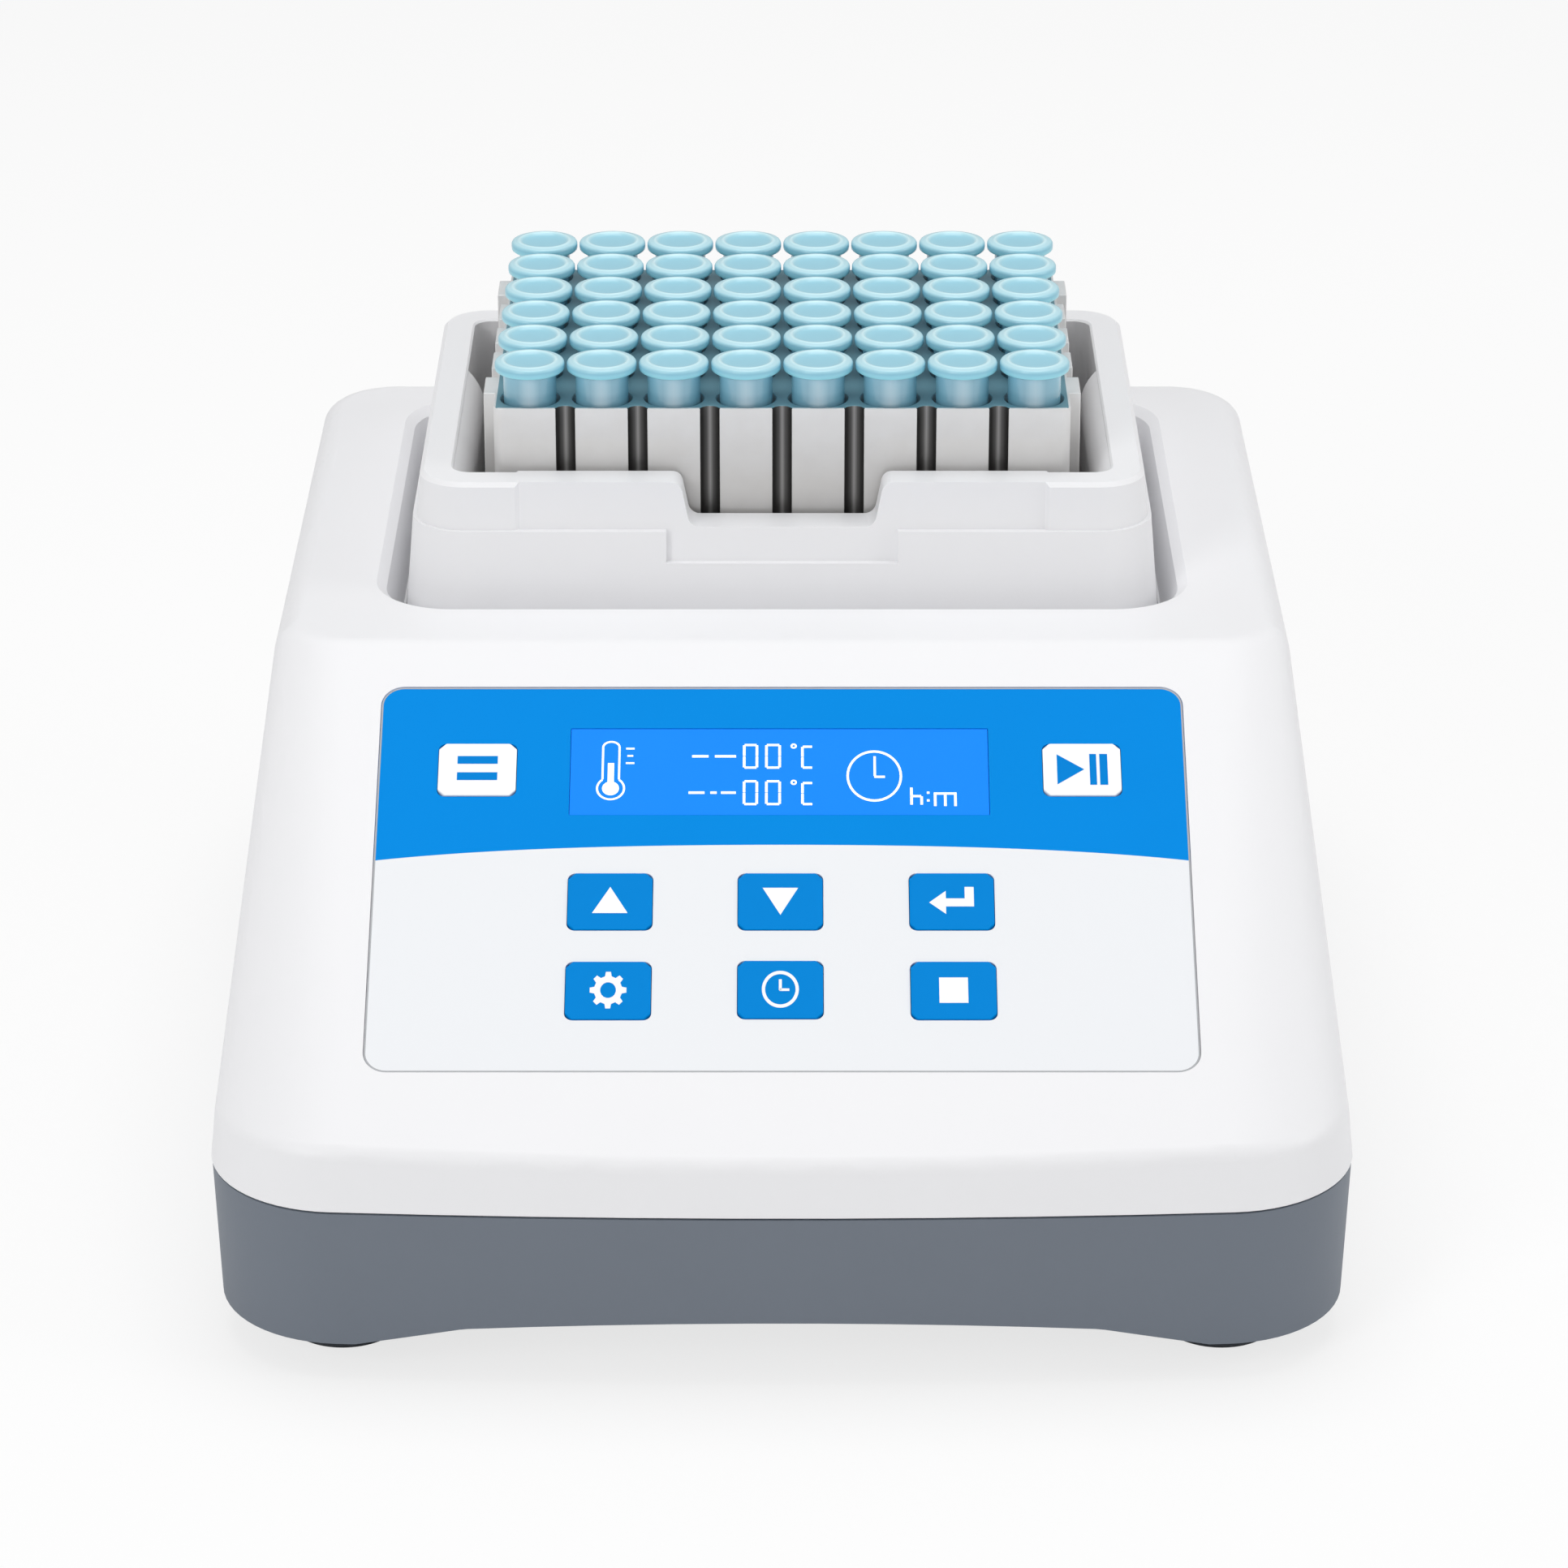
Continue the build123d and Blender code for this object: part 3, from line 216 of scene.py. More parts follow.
class Finish:
    """A material with one Principled shader and helpers to feed it"""

    def __init__(self, name, colour, roughness, **constants):
        self.material = bpy.data.materials.new(name)
        self.material.use_nodes = True
        self.tree = self.material.node_tree
        self.shader = self.tree.nodes["Principled BSDF"]
        self.colour = colour
        self.shader.inputs["Base Color"].default_value = colour
        self.shader.inputs["Roughness"].default_value = roughness
        for socket, value in constants.items():
            self.shader.inputs[socket.replace("_", " ")].default_value = value

    def node(self, kind, settings, inputs, output=0):
        added = self.tree.nodes.new(kind)
        for setting, value in settings.items():
            if setting == "stops":
                ramp = added.color_ramp.elements
                while len(ramp) < len(value):
                    ramp.new(1.0)
                for stop, (position, colour) in zip(ramp, value):
                    stop.position = position
                    stop.color = colour
            else:
                setattr(added, setting, value)
        for key, value in inputs.items():
            if isinstance(value, Value):
                self.tree.links.new(value.socket, added.inputs[key])
            else:
                added.inputs[key].default_value = value
        return Value(self, added.outputs[output])

    def feed(self, socket, value):
        self.tree.links.new(value.socket, self.shader.inputs[socket])

    def place(self):
        """Object coordinates, which are the part's own frame in metres"""
        return self.node("ShaderNodeTexCoord", {}, {}, "Object")

    def axes(self):
        split = self.node("ShaderNodeSeparateXYZ", {}, {0: self.place()})
        sockets = split.socket.node.outputs
        return [Value(self, sockets[i]) for i in range(3)]

    def noise(self, scale):
        return self.node("ShaderNodeTexNoise", {}, {"Vector": self.place(), "Scale": scale, "Detail": 3.0})

    def mix(self, share, first, second):
        """Two colours mixed by a share"""
        return self.node("ShaderNodeMix", {"data_type": "RGBA"}, {"Factor": share, 6: first, 7: second}, 2)

    def ramp(self, share, stops):
        return self.node("ShaderNodeValToRGB", {"stops": stops}, {0: share})

    def grain(self, scale, depth, strength):
        """A fine bump of the surface"""
        heights = {"Strength": strength, "Distance": depth, "Height": self.noise(scale)}
        bump = self.node("ShaderNodeBump", {}, heights)
        self.feed("Normal", bump)

    def glow(self):
        """The finish gives off light of its own colour"""
        self.shader.inputs["Emission Color"].default_value = self.colour

    def wander(self, amount, scale):
        """The colour drifts a little over the surface"""
        darker = [c * (1 - amount) for c in self.colour[:3]] + [1.0]
        self.feed("Base Color", self.mix(self.noise(scale), darker, self.colour))


# %% [markdown]
# The white cover and collar are moulded ABS with a very fine spark texture. A mild noise in colour keeps
# the big faces from looking computed, and the bump is small enough to break up only the highlights.

# %% Moulded plastics and rubber
white_plastic = Finish("white_plastic", srgb(244, 244, 246), 0.42, Specular_IOR_Level=0.4)
white_plastic.wander(0.012, 60)
white_plastic.grain(2600, 0.00004, 0.12)

grey_plastic = Finish("grey_plastic", srgb(112, 120, 131), 0.5, Specular_IOR_Level=0.45)
grey_plastic.wander(0.03, 50)
grey_plastic.grain(2600, 0.00005, 0.18)

rubber = Finish("foot_rubber", srgb(72, 77, 84), 0.75)
rubber.wander(0.08, 300)
rubber.grain(1800, 0.00006, 0.3)

black_plastic = Finish("black_plastic", srgb(38, 39, 42), 0.45)
black_plastic.wander(0.1, 200)
black_plastic.grain(2500, 0.00005, 0.2)
moulded = (white_plastic, grey_plastic, rubber, black_plastic)
print("moulded finishes", [finish.material.name for finish in moulded])

# %% [markdown]
# The heating block is machined aluminium with a satin finish. Its top is anodised teal, as the photo shows,
# so the colour is split by height. A mild noise keeps the sides from looking computed.

# %% The heating block's finish
block_metal = Finish("block_aluminium", srgb(205, 205, 205), 0.4, Metallic=0.25)
x, y, z = block_metal.axes()
top_skin = 0.1
# Painted highlight: the teal stops short of the top's edges, so the rolled edge keeps the lighter aluminium
# colour
teal_margin_x = 0.45
teal_margin_y = 0.55
on_top = (z > (block_top - top_skin) * mm) * (abs(x) < (block_half_x - teal_margin_x) * mm)
on_top = on_top * (y > (well_centre_y - block_half_y + teal_margin_y) * mm)
drift = block_metal.mix(block_metal.noise(220), srgb(232, 231, 230), srgb(241, 241, 241))

# Painted shade: the sides' colour darkens a little towards the bottom
shade_low = 110.0
shade_height = 30.0
painted_side_shades = [(0.0, srgb(196, 195, 194)), (0.5, srgb(222, 221, 220)), (1.0, srgb(250, 250, 250))]
depth = block_metal.ramp((z - shade_low * mm) * (1 / (shade_height * mm)), painted_side_shades)
sides = block_metal.node(
    "ShaderNodeMix", {"data_type": "RGBA", "blend_type": "MULTIPLY"}, {"Factor": 1.0, 6: drift, 7: depth}, 2
)

# Painted reflection in the front grooves, as if they mirrored the dark gap: pale along the middle and nearly
# black at their edges
whole_columns = 20
painted_groove_reflection_stops = [
    (0.0, srgb(150, 149, 148)),
    (0.3, srgb(84, 83, 82)),
    (0.75, srgb(52, 51, 50)),
    (1.0, srgb(32, 32, 32)),
]
groove_front = 43.4
groove_back = 40.0
groove_reach_x = 50.0
in_columns = (x * 1000 * (1 / column_pitch) + whole_columns).part()
off_groove = column_pitch / 2 - abs(in_columns - 0.5) * column_pitch
painted_groove_reflection = block_metal.ramp(off_groove * (1 / groove_spread), painted_groove_reflection_stops)
in_groove = (y > (well_centre_y - groove_front) * mm) * (y < (well_centre_y - groove_back) * mm)
in_groove = in_groove * (abs(x) < groove_reach_x * mm) * (off_groove < groove_spread)
sides = block_metal.mix(in_groove, sides, painted_groove_reflection)
block_metal.feed("Base Color", block_metal.mix(on_top, sides, srgb(110, 156, 170)))
block_metal.grain(900, 0.00002, 0.15)
print("the block's finish has", len(block_metal.tree.nodes), "nodes")

# %% [markdown]
# Sheet pieces and screws are zinc plated steel, and the inlet's blades are brass. Both are bare metal, so the
# metallic value is full, and a faint mottle stands for the plating.

# %% Steel and brass
sheet_steel = Finish("zinc_sheet", srgb(170, 172, 175), 0.35, Metallic=1.0)
sheet_steel.wander(0.15, 120)
sheet_steel.grain(700, 0.00003, 0.2)

screw_steel = Finish("screw_steel", srgb(150, 152, 155), 0.3, Metallic=1.0)
screw_steel.wander(0.1, 500)
screw_steel.grain(3000, 0.00002, 0.2)

brass = Finish("blade_brass", srgb(200, 165, 95), 0.3, Metallic=1.0)
brass.wander(0.1, 400)
print("bare metals", [finish.material.name for finish in (sheet_steel, screw_steel, brass)])

# %% [markdown]
# Tubes and lids are clear blue polypropylene. From outside they read as pale blue with a soft skin, and the
# liquid makes the lower part darker. Colour by height carries that, a painted highlight down each tube's
# middle with painted shade towards its sides gives the gleam, and a clear coat gives the wet streak.

# %% Tubes and lids
tube_plastic = Finish("tube_plastic", srgb(150, 190, 208), 0.25, Coat_Weight=0.6)
x, y, z = tube_plastic.axes()
liquid_low = block_top - 1.0
liquid_height = 7.0
liquid_shades = [
    (0.0, srgb(118, 160, 180)),
    (0.35, srgb(128, 170, 189)),
    (0.5, srgb(150, 192, 208)),
    (1.0, srgb(160, 205, 222)),
]
liquid = tube_plastic.ramp((z - liquid_low * mm) * (1 / (liquid_height * mm)), liquid_shades)
# Painted highlight down each tube's middle, and painted shade towards its sides
painted_gleam_shades = [
    (0.0, srgb(205, 224, 232)),
    (0.16, srgb(190, 216, 226)),
    (0.4, srgb(132, 178, 196)),
    (1.0, srgb(120, 196, 220)),
]
gleam_share = 0.45
in_columns = (x * 1000 * (1 / column_pitch) + whole_columns + 1).part()
off_middle = abs(in_columns - 0.5) * column_pitch
painted_gleam = tube_plastic.ramp(off_middle * (1 / tube_radius), painted_gleam_shades)
tube_plastic.feed("Base Color", tube_plastic.mix(gleam_share, liquid, painted_gleam))
tube_plastic.grain(900, 0.00002, 0.1)
print("the liquid shows up to", liquid_low + liquid_height, "mm")

lid_plastic = Finish("lid_plastic", srgb(168, 214, 228), 0.32, Coat_Weight=0.35)
x, y, z = lid_plastic.axes()
# Painted light: the lid's colour is set by height, pale low on its side, darker higher up, and brightest on
# the raised ring at the top as a painted highlight
painted_lid_shades = [
    (0.0, srgb(165, 240, 252)),
    (0.55, srgb(146, 208, 228)),
    (0.8, srgb(168, 220, 235)),
    (1.0, srgb(212, 246, 253)),
]
painted_lid_light = lid_plastic.ramp((z - tube_top * mm) * (1 / (lid_height * mm)), painted_lid_shades)
lid_plastic.feed("Base Color", painted_lid_light)
lid_plastic.grain(700, 0.00003, 0.12)

# %% [markdown]
# The panel film is printed blue above a shallow arc and white below it. The arc is a formula in the face's
# own measures, so the print stays sharp at any size.

# %% Printed film, keys and display
film = Finish("panel_film", srgb(0, 142, 231), 0.35, Specular_IOR_Level=0.02)
x, y, z = film.axes()
up = (y - crease_y * mm) * cos(slope_angle) + (z - crease_height * mm) * sin(slope_angle)
across = x * 1000
across_squared = across * across
arc_top = 70.9
arc_bend = 4.0e-4
arc_tail = 3.9e-8
arc = arc_top - across_squared * arc_bend - across_squared * across_squared * arc_tail
film_blue = film.mix(film.noise(40), srgb(0, 140, 229), srgb(0, 144, 233))
film.feed("Base Color", film.mix(up * 1000 > arc, srgb(243, 245, 248), film_blue))
film.grain(3000, 0.00001, 0.08)

blue_key = Finish("blue_key", srgb(1, 137, 221), 0.35, Specular_IOR_Level=0.02)
blue_key.wander(0.03, 200)
white_key = Finish("white_key", srgb(247, 249, 250), 0.28, Coat_Weight=0.2)
white_key.wander(0.01, 200)
key_sign_white = Finish("key_sign_white", srgb(250, 251, 252), 0.35)
key_sign_white.wander(0.01, 200)
key_sign_blue = Finish("key_sign_blue", srgb(1, 134, 220), 0.35, Specular_IOR_Level=0.02)
key_sign_blue.wander(0.02, 200)

display = Finish("display_blue", srgb(28, 139, 254), 0.3, Emission_Strength=0.12, Specular_IOR_Level=0.02)
display.glow()
display.wander(0.05, 80)
display_sign = Finish("display_sign", srgb(250, 253, 255), 0.4, Emission_Strength=0.35)
display_sign.glow()
display_sign.wander(0.01, 300)
on_the_face = (film, blue_key, white_key, key_sign_white, key_sign_blue, display, display_sign)
print("finishes on the face", [finish.material.name for finish in on_the_face])

# %% [markdown]
# What is inside shows only through the vents and in open views, yet each piece still gets its own finish.

# %% Inner pieces
board = Finish("circuit_board", srgb(24, 92, 58), 0.4)
board.wander(0.25, 90)
board.grain(600, 0.00003, 0.2)
mat_rubber = Finish("heater_silicone", srgb(176, 86, 48), 0.6)
mat_rubber.wander(0.1, 150)
mat_rubber.grain(1200, 0.00004, 0.3)
fibre = Finish("fibre_board", srgb(226, 221, 208), 0.85)
fibre.wander(0.12, 500)
fibre.grain(900, 0.0001, 0.4)
fuse_glass = Finish("fuse_glass", srgb(215, 222, 222), 0.12, Coat_Weight=0.5)
fuse_glass.wander(0.05, 300)
print("materials so far", len(bpy.data.materials))

# %% [markdown]
# The record names a material slot for each node. Each slot gets one finish here, so a node that is added
# later is dressed as soon as its slot is known.

# %% Which slot wears which finish
finishes = {
    "white_plastic": white_plastic,
    "grey_plastic": grey_plastic,
    "rubber": rubber,
    "aluminium": block_metal,
    "sheet_steel": sheet_steel,
    "screw_steel": screw_steel,
    "film": film,
    "display": display,
    "module": black_plastic,
    "white_key": white_key,
    "blue_key": blue_key,
    "circuit_board": board,
    "black_plastic": black_plastic,
    "silicone": mat_rubber,
    "insulation": fibre,
    "brass": brass,
    "fuse_glass": fuse_glass,
    "tube_plastic": tube_plastic,
    "lid_plastic": lid_plastic,
}


def wear(piece, finish):
    """Give a piece one finish all over"""
    piece.data.materials.clear()
    piece.data.materials.append(finish.material)


for subpart in frame["record"]["subparts"]:
    wear(nodes[subpart["node"]], finishes[subpart["material_slot"]])
print("finishes", len(finishes))


# %% [markdown]
# Moulded edges are never knife sharp. On the carried-over CAD nodes a weld joins the triangles, a bevel
# rolls the edges, and weighted normals keep the flat faces flat.

# %% Roll the edges of CAD nodes
def soften(node, width, steps, angle=30):
    """Roll a node's sharp edges by a width in millimetres"""
    piece = nodes[node]
    piece.data.shade_smooth()
    weld = piece.modifiers.new("join_triangles", "WELD")
    weld.merge_threshold = 0.002 * mm
    roll = piece.modifiers.new("rolled_edge", "BEVEL")
    roll.width = width * mm
    roll.segments = steps
    roll.limit_method = "ANGLE"
    roll.angle_limit = radians(angle)
    flat = piece.modifiers.new("flat_faces", "WEIGHTED_NORMAL")
    flat.keep_sharp = True


soften("top_cover", 0.35, 2)
soften("block_collar", 0.7, 3)
soften("base_tray", 0.5, 2)
for foot in ("foot_front_left", "foot_front_right", "foot_rear_left", "foot_rear_right"):
    soften(foot, 0.6, 3, 25)
for node in nodes:
    if node.startswith("key_") and node not in ("key_board", "key_switches"):
        soften(node, 0.25, 2)
soften("lcd_window", 0.12, 2)
for node in ("power_inlet", "rocker_body", "power_rocker", "fuse_drawer"):
    soften(node, 0.3, 2)
print("nodes with rolled edges", sum("rolled_edge" in piece.modifiers for piece in nodes.values()))


# %% [markdown]
# Tubes and lids. On the real rack each tube is a thin-walled cone with a snap lid, whose top has a raised
# ring round a dished centre. A turned profile gives that, and eight of them make a row.

# %% Tubes and lids, row by row
tube_shoulder = 123.6
tube_bottom = 106.0
tube_profile = [
    (0.9, tube_bottom),
    (1.6, tube_bottom + 0.3),
    (1.95, tube_bottom + 1.0),
    (5.1, tube_shoulder - 0.4),
    (tube_radius, tube_shoulder + 0.4),
    (tube_radius, tube_top),
]
lid_profile = [
    (5.6, tube_top + 0.02),
    (6.5, tube_top + 0.05),
    (6.8, tube_top + 0.3),
    (6.85, tube_top + 0.7),
    (6.82, tube_top + 1.5),
    (6.6, tube_top + 1.85),
    (6.2, tube_top + 1.98),
    (5.75, tube_top + 1.98),
    (5.5, tube_top + 2.12),
    (5.3, tube_top + lid_height),
    (5.05, tube_top + 2.18),
    (4.85, tube_top + 2.0),
    (4.5, tube_top + 1.72),
    (4.1, tube_top + 1.55),
    (3.0, tube_top + 1.42),
    (1.2, tube_top + 1.38),
]
turn_steps = 36


def column_x(column):
    return (column - (columns - 1) / 2) * column_pitch


def row_y(row):
    return well_centre_y + (row - (rows - 1) / 2) * row_pitch


for row in range(rows):
    number = str(row + 1)
    tube_shape = Shape()
    lid_shape = Shape()
    for column in range(columns):
        tube_shape.turned(tube_profile, column_x(column), row_y(row), turn_steps)
        lid_shape.turned(lid_profile, column_x(column), row_y(row), turn_steps)
    tubes = tube_shape.make("round_tubes_" + number)
    lids = lid_shape.make("round_lids_" + number, 60)
    wear(tubes, tube_plastic)
    wear(lids, lid_plastic)
    for piece, node, slot in ((tubes, "tubes_row_", "tube_plastic"), (lids, "lids_row_", "lid_plastic")):
        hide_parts(node + number)
        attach(piece, "tube_row_" + number)
print("tubes and lids made", rows * columns)

# %% [markdown]
# The block is a milled bar with half-round grooves between the columns and lands on its sides. Seen from
# above, all of that is one outline, so it is drawn once as a flat line and needs no cutting.

# %% The block's outline
groove_radius = 1.9
land_half = 4.7
land_proud = 1.4
lug_proud = 2.3
corner_radius = 2.0
groove_steps = 12
corner_steps = 6


def block_outline():
    """The block's outline seen from above, counter-clockwise from the front left corner"""
    front = []
    for column in range(columns - 1):
        middle = column_x(column) + column_pitch / 2
        for i in range(groove_steps + 1):
            turn = pi - pi * i / groove_steps
            front.append((middle + groove_radius * cos(turn), -block_half_y + groove_radius * sin(turn)))
    side = []
    for place in range(rows - 1):
        middle = (place - (rows - 2) / 2) * row_pitch
        proud = lug_proud if place in (0, rows - 2) else land_proud
        side += [
            (block_half_x, middle - land_half),
            (block_half_x + proud, middle - land_half),
            (block_half_x + proud, middle + land_half),
            (block_half_x, middle + land_half),
        ]
    corner = []
    for i in range(corner_steps + 1):
        turn = -pi / 2 + pi / 2 * i / corner_steps
        corner.append((
            block_half_x - corner_radius + corner_radius * cos(turn),
            -block_half_y + corner_radius + corner_radius * sin(turn),
        ))
    rear_corner = [(px, -py) for px, py in reversed(corner)]
    half = front + corner + side + rear_corner
    other = [(-px, -py) for px, py in half]
    return half + other


print("points in the block's outline", len(block_outline()))

# %% [markdown]
# The wells are drilled from the top and end in a cone. The outline is given thickness, and one boolean drills
# all the wells at once, which leaves true round mouths. A bevel then breaks every sharp edge.

# %% Mill the block and drill its wells
well_radius = 5.85
broken_edge = 0.35


def cut_from(piece, cutter):
    """Take one mesh out of another for good"""
    cut = piece.modifiers.new("cut", "BOOLEAN")
    cut.object = cutter
    cut.solver = "EXACT"
    graph = bpy.context.evaluated_depsgraph_get()
    piece.data = bpy.data.meshes.new_from_object(piece.evaluated_get(graph))
    piece.modifiers.clear()
    bpy.data.objects.remove(cutter)


block_shape = Shape()
block_shape.prism(
    block_outline(), block_bottom, block_top, lambda px, py, pz: upright(px, py + well_centre_y, pz)
)
fine_block = block_shape.make("milled_block")
drill = Shape()
well_profile = [
    (2.6, block_top - 34.6),
    (well_radius, block_top - 17.0),
    (well_radius, block_top + 2.0),
]
for row in range(rows):
    for column in range(columns):
        drill.turned(well_profile, column_x(column), row_y(row), turn_steps)
drills = drill.make("drills")
cut_from(fine_block, drills)
drilled = fine_block.data
drilled.shade_smooth()
drilled.set_sharp_from_angle(angle=radians(30))
edge = fine_block.modifiers.new("broken_edge", "BEVEL")
edge.width = broken_edge * mm
edge.segments = 2
edge.limit_method = "ANGLE"
edge.angle_limit = radians(35)
flat = fine_block.modifiers.new("flat_faces", "WEIGHTED_NORMAL")
wear(fine_block, block_metal)
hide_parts("heating_block")
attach(fine_block, "heating_block")
print("block faces", len(drilled.polygons))

# %% [markdown]
# Signs on the keys are printed. Thin plates a few hundredths of a millimetre above the cap read as print
# and keep crisp edges. Their outlines are generic signs, drawn from each key's centre.

# %% Helpers for flat signs
print_height = 0.04
print_sink = 0.01


def bar(cx, cy, width, height):
    """The corners of a rectangle about a centre"""
    return [
        (cx - width / 2, cy - height / 2),
        (cx + width / 2, cy - height / 2),
        (cx + width / 2, cy + height / 2),
        (cx - width / 2, cy + height / 2),
    ]


def circle(cx, cy, radius, steps=40):
    turns = [2 * pi * i / steps for i in range(steps)]
    return [(cx + radius * cos(turn), cy + radius * sin(turn)) for turn in turns]


def round_ring(shape, cx, cy, outer, inner, low, high, place, steps=40):
    """A flat ring, as four bands"""
    turned = []
    for radius, level in ((outer, low), (outer, high), (inner, high), (inner, low)):
        turned.append(shape.ring([place(px, py, level) for px, py in circle(cx, cy, radius, steps)]))
    for lower, upper in zip(turned, turned[1:] + turned[:1]):
        shape.band(lower, upper)


def gear(tip, body, teeth=8):
    """A gear's outer outline"""
    points = []
    for tooth in range(teeth):
        start = 2 * pi * tooth / teeth
        for share, radius in ((-0.30, body), (-0.17, tip), (0.17, tip), (0.30, body)):
            turn = start + share * 2 * pi / teeth
            points.append((radius * cos(turn), radius * sin(turn)))
    return points


# %% [markdown]
# Six blue keys stand in two rows on the white of the overlay, and two white keys flank the display on its
# blue.

# %% Where the keys are, across and up the face
key_centres = {
    "key_menu": (-57.5, 88.2),
    "key_start_pause": (56.6, 88.2),
    "key_up": (-31.9, 57.9),
    "key_down": (-0.3, 57.9),
    "key_enter": (31.5, 57.9),
    "key_settings": (-31.9, 38.0),
    "key_timer": (-0.3, 38.2),
    "key_stop": (31.5, 38.0),
}
white_keys = ("key_menu", "key_start_pause")
print("keys", len(key_centres), "of them white", len(white_keys))

# %% [markdown]
# The overlay is one punched sheet. The punch rounds each window's corners and leaves a hair of play round
# the key, so the sheet is drawn here with rounded windows in place of the plain ones.

# %% The punched overlay
film_thickness = 0.6
blue_key_size = (15.7, 12.7)
white_key_size = (14.7, 12.1)
lens_size = (78.9, 20.1)
window_play = 0.12
window_corner = 1.5
lens_play = 0.1
lens_corner = 0.3
punch_reach = 2
sheet_corner = 4.2
sheet_steps = 10
lens_x = -0.5
lens_up = 87.9


def rounded(cx, cy, width, height, corner, steps=6):
    """The outline of a rectangle with round corners"""
    points = []
    for quarter, (sx, sy) in enumerate(((1, 1), (-1, 1), (-1, -1), (1, -1))):
        for i in range(steps + 1):
            turn = pi / 2 * (quarter + i / steps)
            points.append((
                cx + sx * (width / 2 - corner) + corner * cos(turn),
                cy + sy * (height / 2 - corner) + corner * sin(turn),
            ))
    return points


sheet_shape = Shape()
panel_middle = (panel_low + panel_high) / 2
sheet_shape.prism(
    rounded(0, panel_middle, 2 * panel_half, panel_high - panel_low, sheet_corner, sheet_steps),
    film_level - film_thickness,
    film_level,
    on_face,
)
sheet = sheet_shape.make("punched_overlay")
punch = Shape()
for key, (centre_x, centre_up) in key_centres.items():
    width, height = white_key_size if key in white_keys else blue_key_size
    width += 2 * window_play
    height += 2 * window_play
    window = rounded(centre_x, centre_up, width, height, window_corner)
    punch.prism(window, -punch_reach, punch_reach, on_face)
lens_width, lens_height = (size + 2 * lens_play for size in lens_size)
window = rounded(lens_x, lens_up, lens_width, lens_height, lens_corner)
punch.prism(window, -punch_reach, punch_reach, on_face)
cut_from(sheet, punch.make("punch"))
sheet.data.shade_smooth()
sheet.data.set_sharp_from_angle(angle=radians(40))
wear(sheet, film)
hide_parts("control_overlay")
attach(sheet, "housing")
print("overlay faces", len(sheet.data.polygons))

# %% [markdown]
# A thin grey line shows where the overlay ends in its recess. It is a flat frame a third of a millimetre wide
# that follows the sheet's own round corners.

# %% The thin grey line round the overlay
edge_grey = Finish("film_edge_line", srgb(176, 178, 182), 0.5)
edge_grey.wander(0.02, 200)
line_width = 0.3
line_height = 0.03
edge_line = Shape()
rings = []
for inset, level in ((0, 0), (0, line_height), (line_width, line_height), (line_width, 0)):
    width = 2 * (panel_half - inset)
    height = panel_high - panel_low - 2 * inset
    outline = rounded(0, panel_middle, width, height, sheet_corner - inset, sheet_steps)
    rings.append(edge_line.ring([on_face(px, py, film_level - print_sink + level) for px, py in outline]))
for lower, upper in zip(rings, rings[1:] + rings[:1]):
    edge_line.band(lower, upper)
line = edge_line.make("overlay_edge_line")
wear(line, edge_grey)
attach(line, "housing")
print("edge line faces", len(line.data.polygons))

# %% [markdown]
# Each sign is printed on its key and rides with it. The round signs are stretched up the slope, because the
# photo shows them round although the face leans back.

# %% Signs on the keys
sign_low = key_level - print_sink
sign_stretch = 1.2
sign_high = key_level + print_height
signs = {
    "key_menu": [bar(0, 2.2, 7.6, 1.8), bar(0, -1.6, 7.6, 1.8)],
    "key_start_pause": [
        [(-4.7, -3.5), (0.4, 0.0), (-4.7, 3.5)],
        bar(2.1, 0, 1.3, 7.2),
        bar(4.1, 0, 1.5, 7.2),
    ],
    "key_up": [[(-3.3, -2.7), (3.3, -2.7), (0.0, 3.2)]],
    "key_down": [[(-3.3, 3.0), (0.0, -3.1), (3.3, 3.0)]],
    "key_enter": [
        [
            (-4.2, -0.3),
            (-1.1, -2.9),
            (-1.1, -1.2),
            (4.1, -1.2),
            (4.1, 3.2),
            (2.4, 3.2),
            (2.4, 0.6),
            (-1.1, 0.6),
            (-1.1, 2.3),
        ]
    ],
    "key_settings": [],
    "key_timer": [bar(0, 1.0, 0.55, 2.4), bar(0.75, -0.1, 1.8, 0.55)],
    "key_stop": [bar(0, 0, 5.3, 5.6)],
}
for key, outlines in signs.items():
    centre_x, centre_up = key_centres[key]

    def on_key(px, py, out, cx=centre_x, cy=centre_up):
        return on_face(cx + px, cy + py, out)

    def on_stretched_key(px, py, out, place=on_key):
        return place(px, py * sign_stretch, out)

    sign = Shape()
    for outline in outlines:
        sign.prism(outline, sign_low, sign_high, on_key)
    if key == "key_timer":
        round_ring(sign, 0, 0, 3.4, 2.8, sign_low, sign_high, on_stretched_key)
    if key == "key_settings":
        tip, body, hole = 3.4, 2.6, 1.45
        teeth = gear(tip, body)
        inner = [(hole * px / abs(complex(px, py)), hole * py / abs(complex(px, py))) for px, py in teeth]
        rings = []
        for outline, level in ((teeth, sign_low), (teeth, sign_high), (inner, sign_high), (inner, sign_low)):
            rings.append(sign.ring([on_stretched_key(px, py, level) for px, py in outline]))
        for lower, upper in zip(rings, rings[1:] + rings[:1]):
            sign.band(lower, upper)
    printed = sign.make("sign_" + key)
    on_white = key in white_keys
    wear(printed, key_sign_blue if on_white else key_sign_white)
    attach(printed, key)
print("signs printed", len(signs))

# %% [markdown]
# The display shows a thermometer, two temperatures, a clock and a unit for time, in white on lit blue.
# Digits are the seven bars of any such display, so a word of segments per digit is all they need. All of it
# goes into one mesh, because it is one lit layer behind the lens.

# %% Two temperatures on the display
shown = Shape()
shown_low = lens_level - print_sink
shown_high = lens_level + print_height
segments = {
    "a": (0, 1),
    "g": (0, 0),
    "d": (0, -1),
    "f": (-1, 0.5),
    "b": (1, 0.5),
    "e": (-1, -0.5),
    "c": (1, -0.5),
}
digits = {"0": "abcdef", "C": "afed", "h": "fegc"}


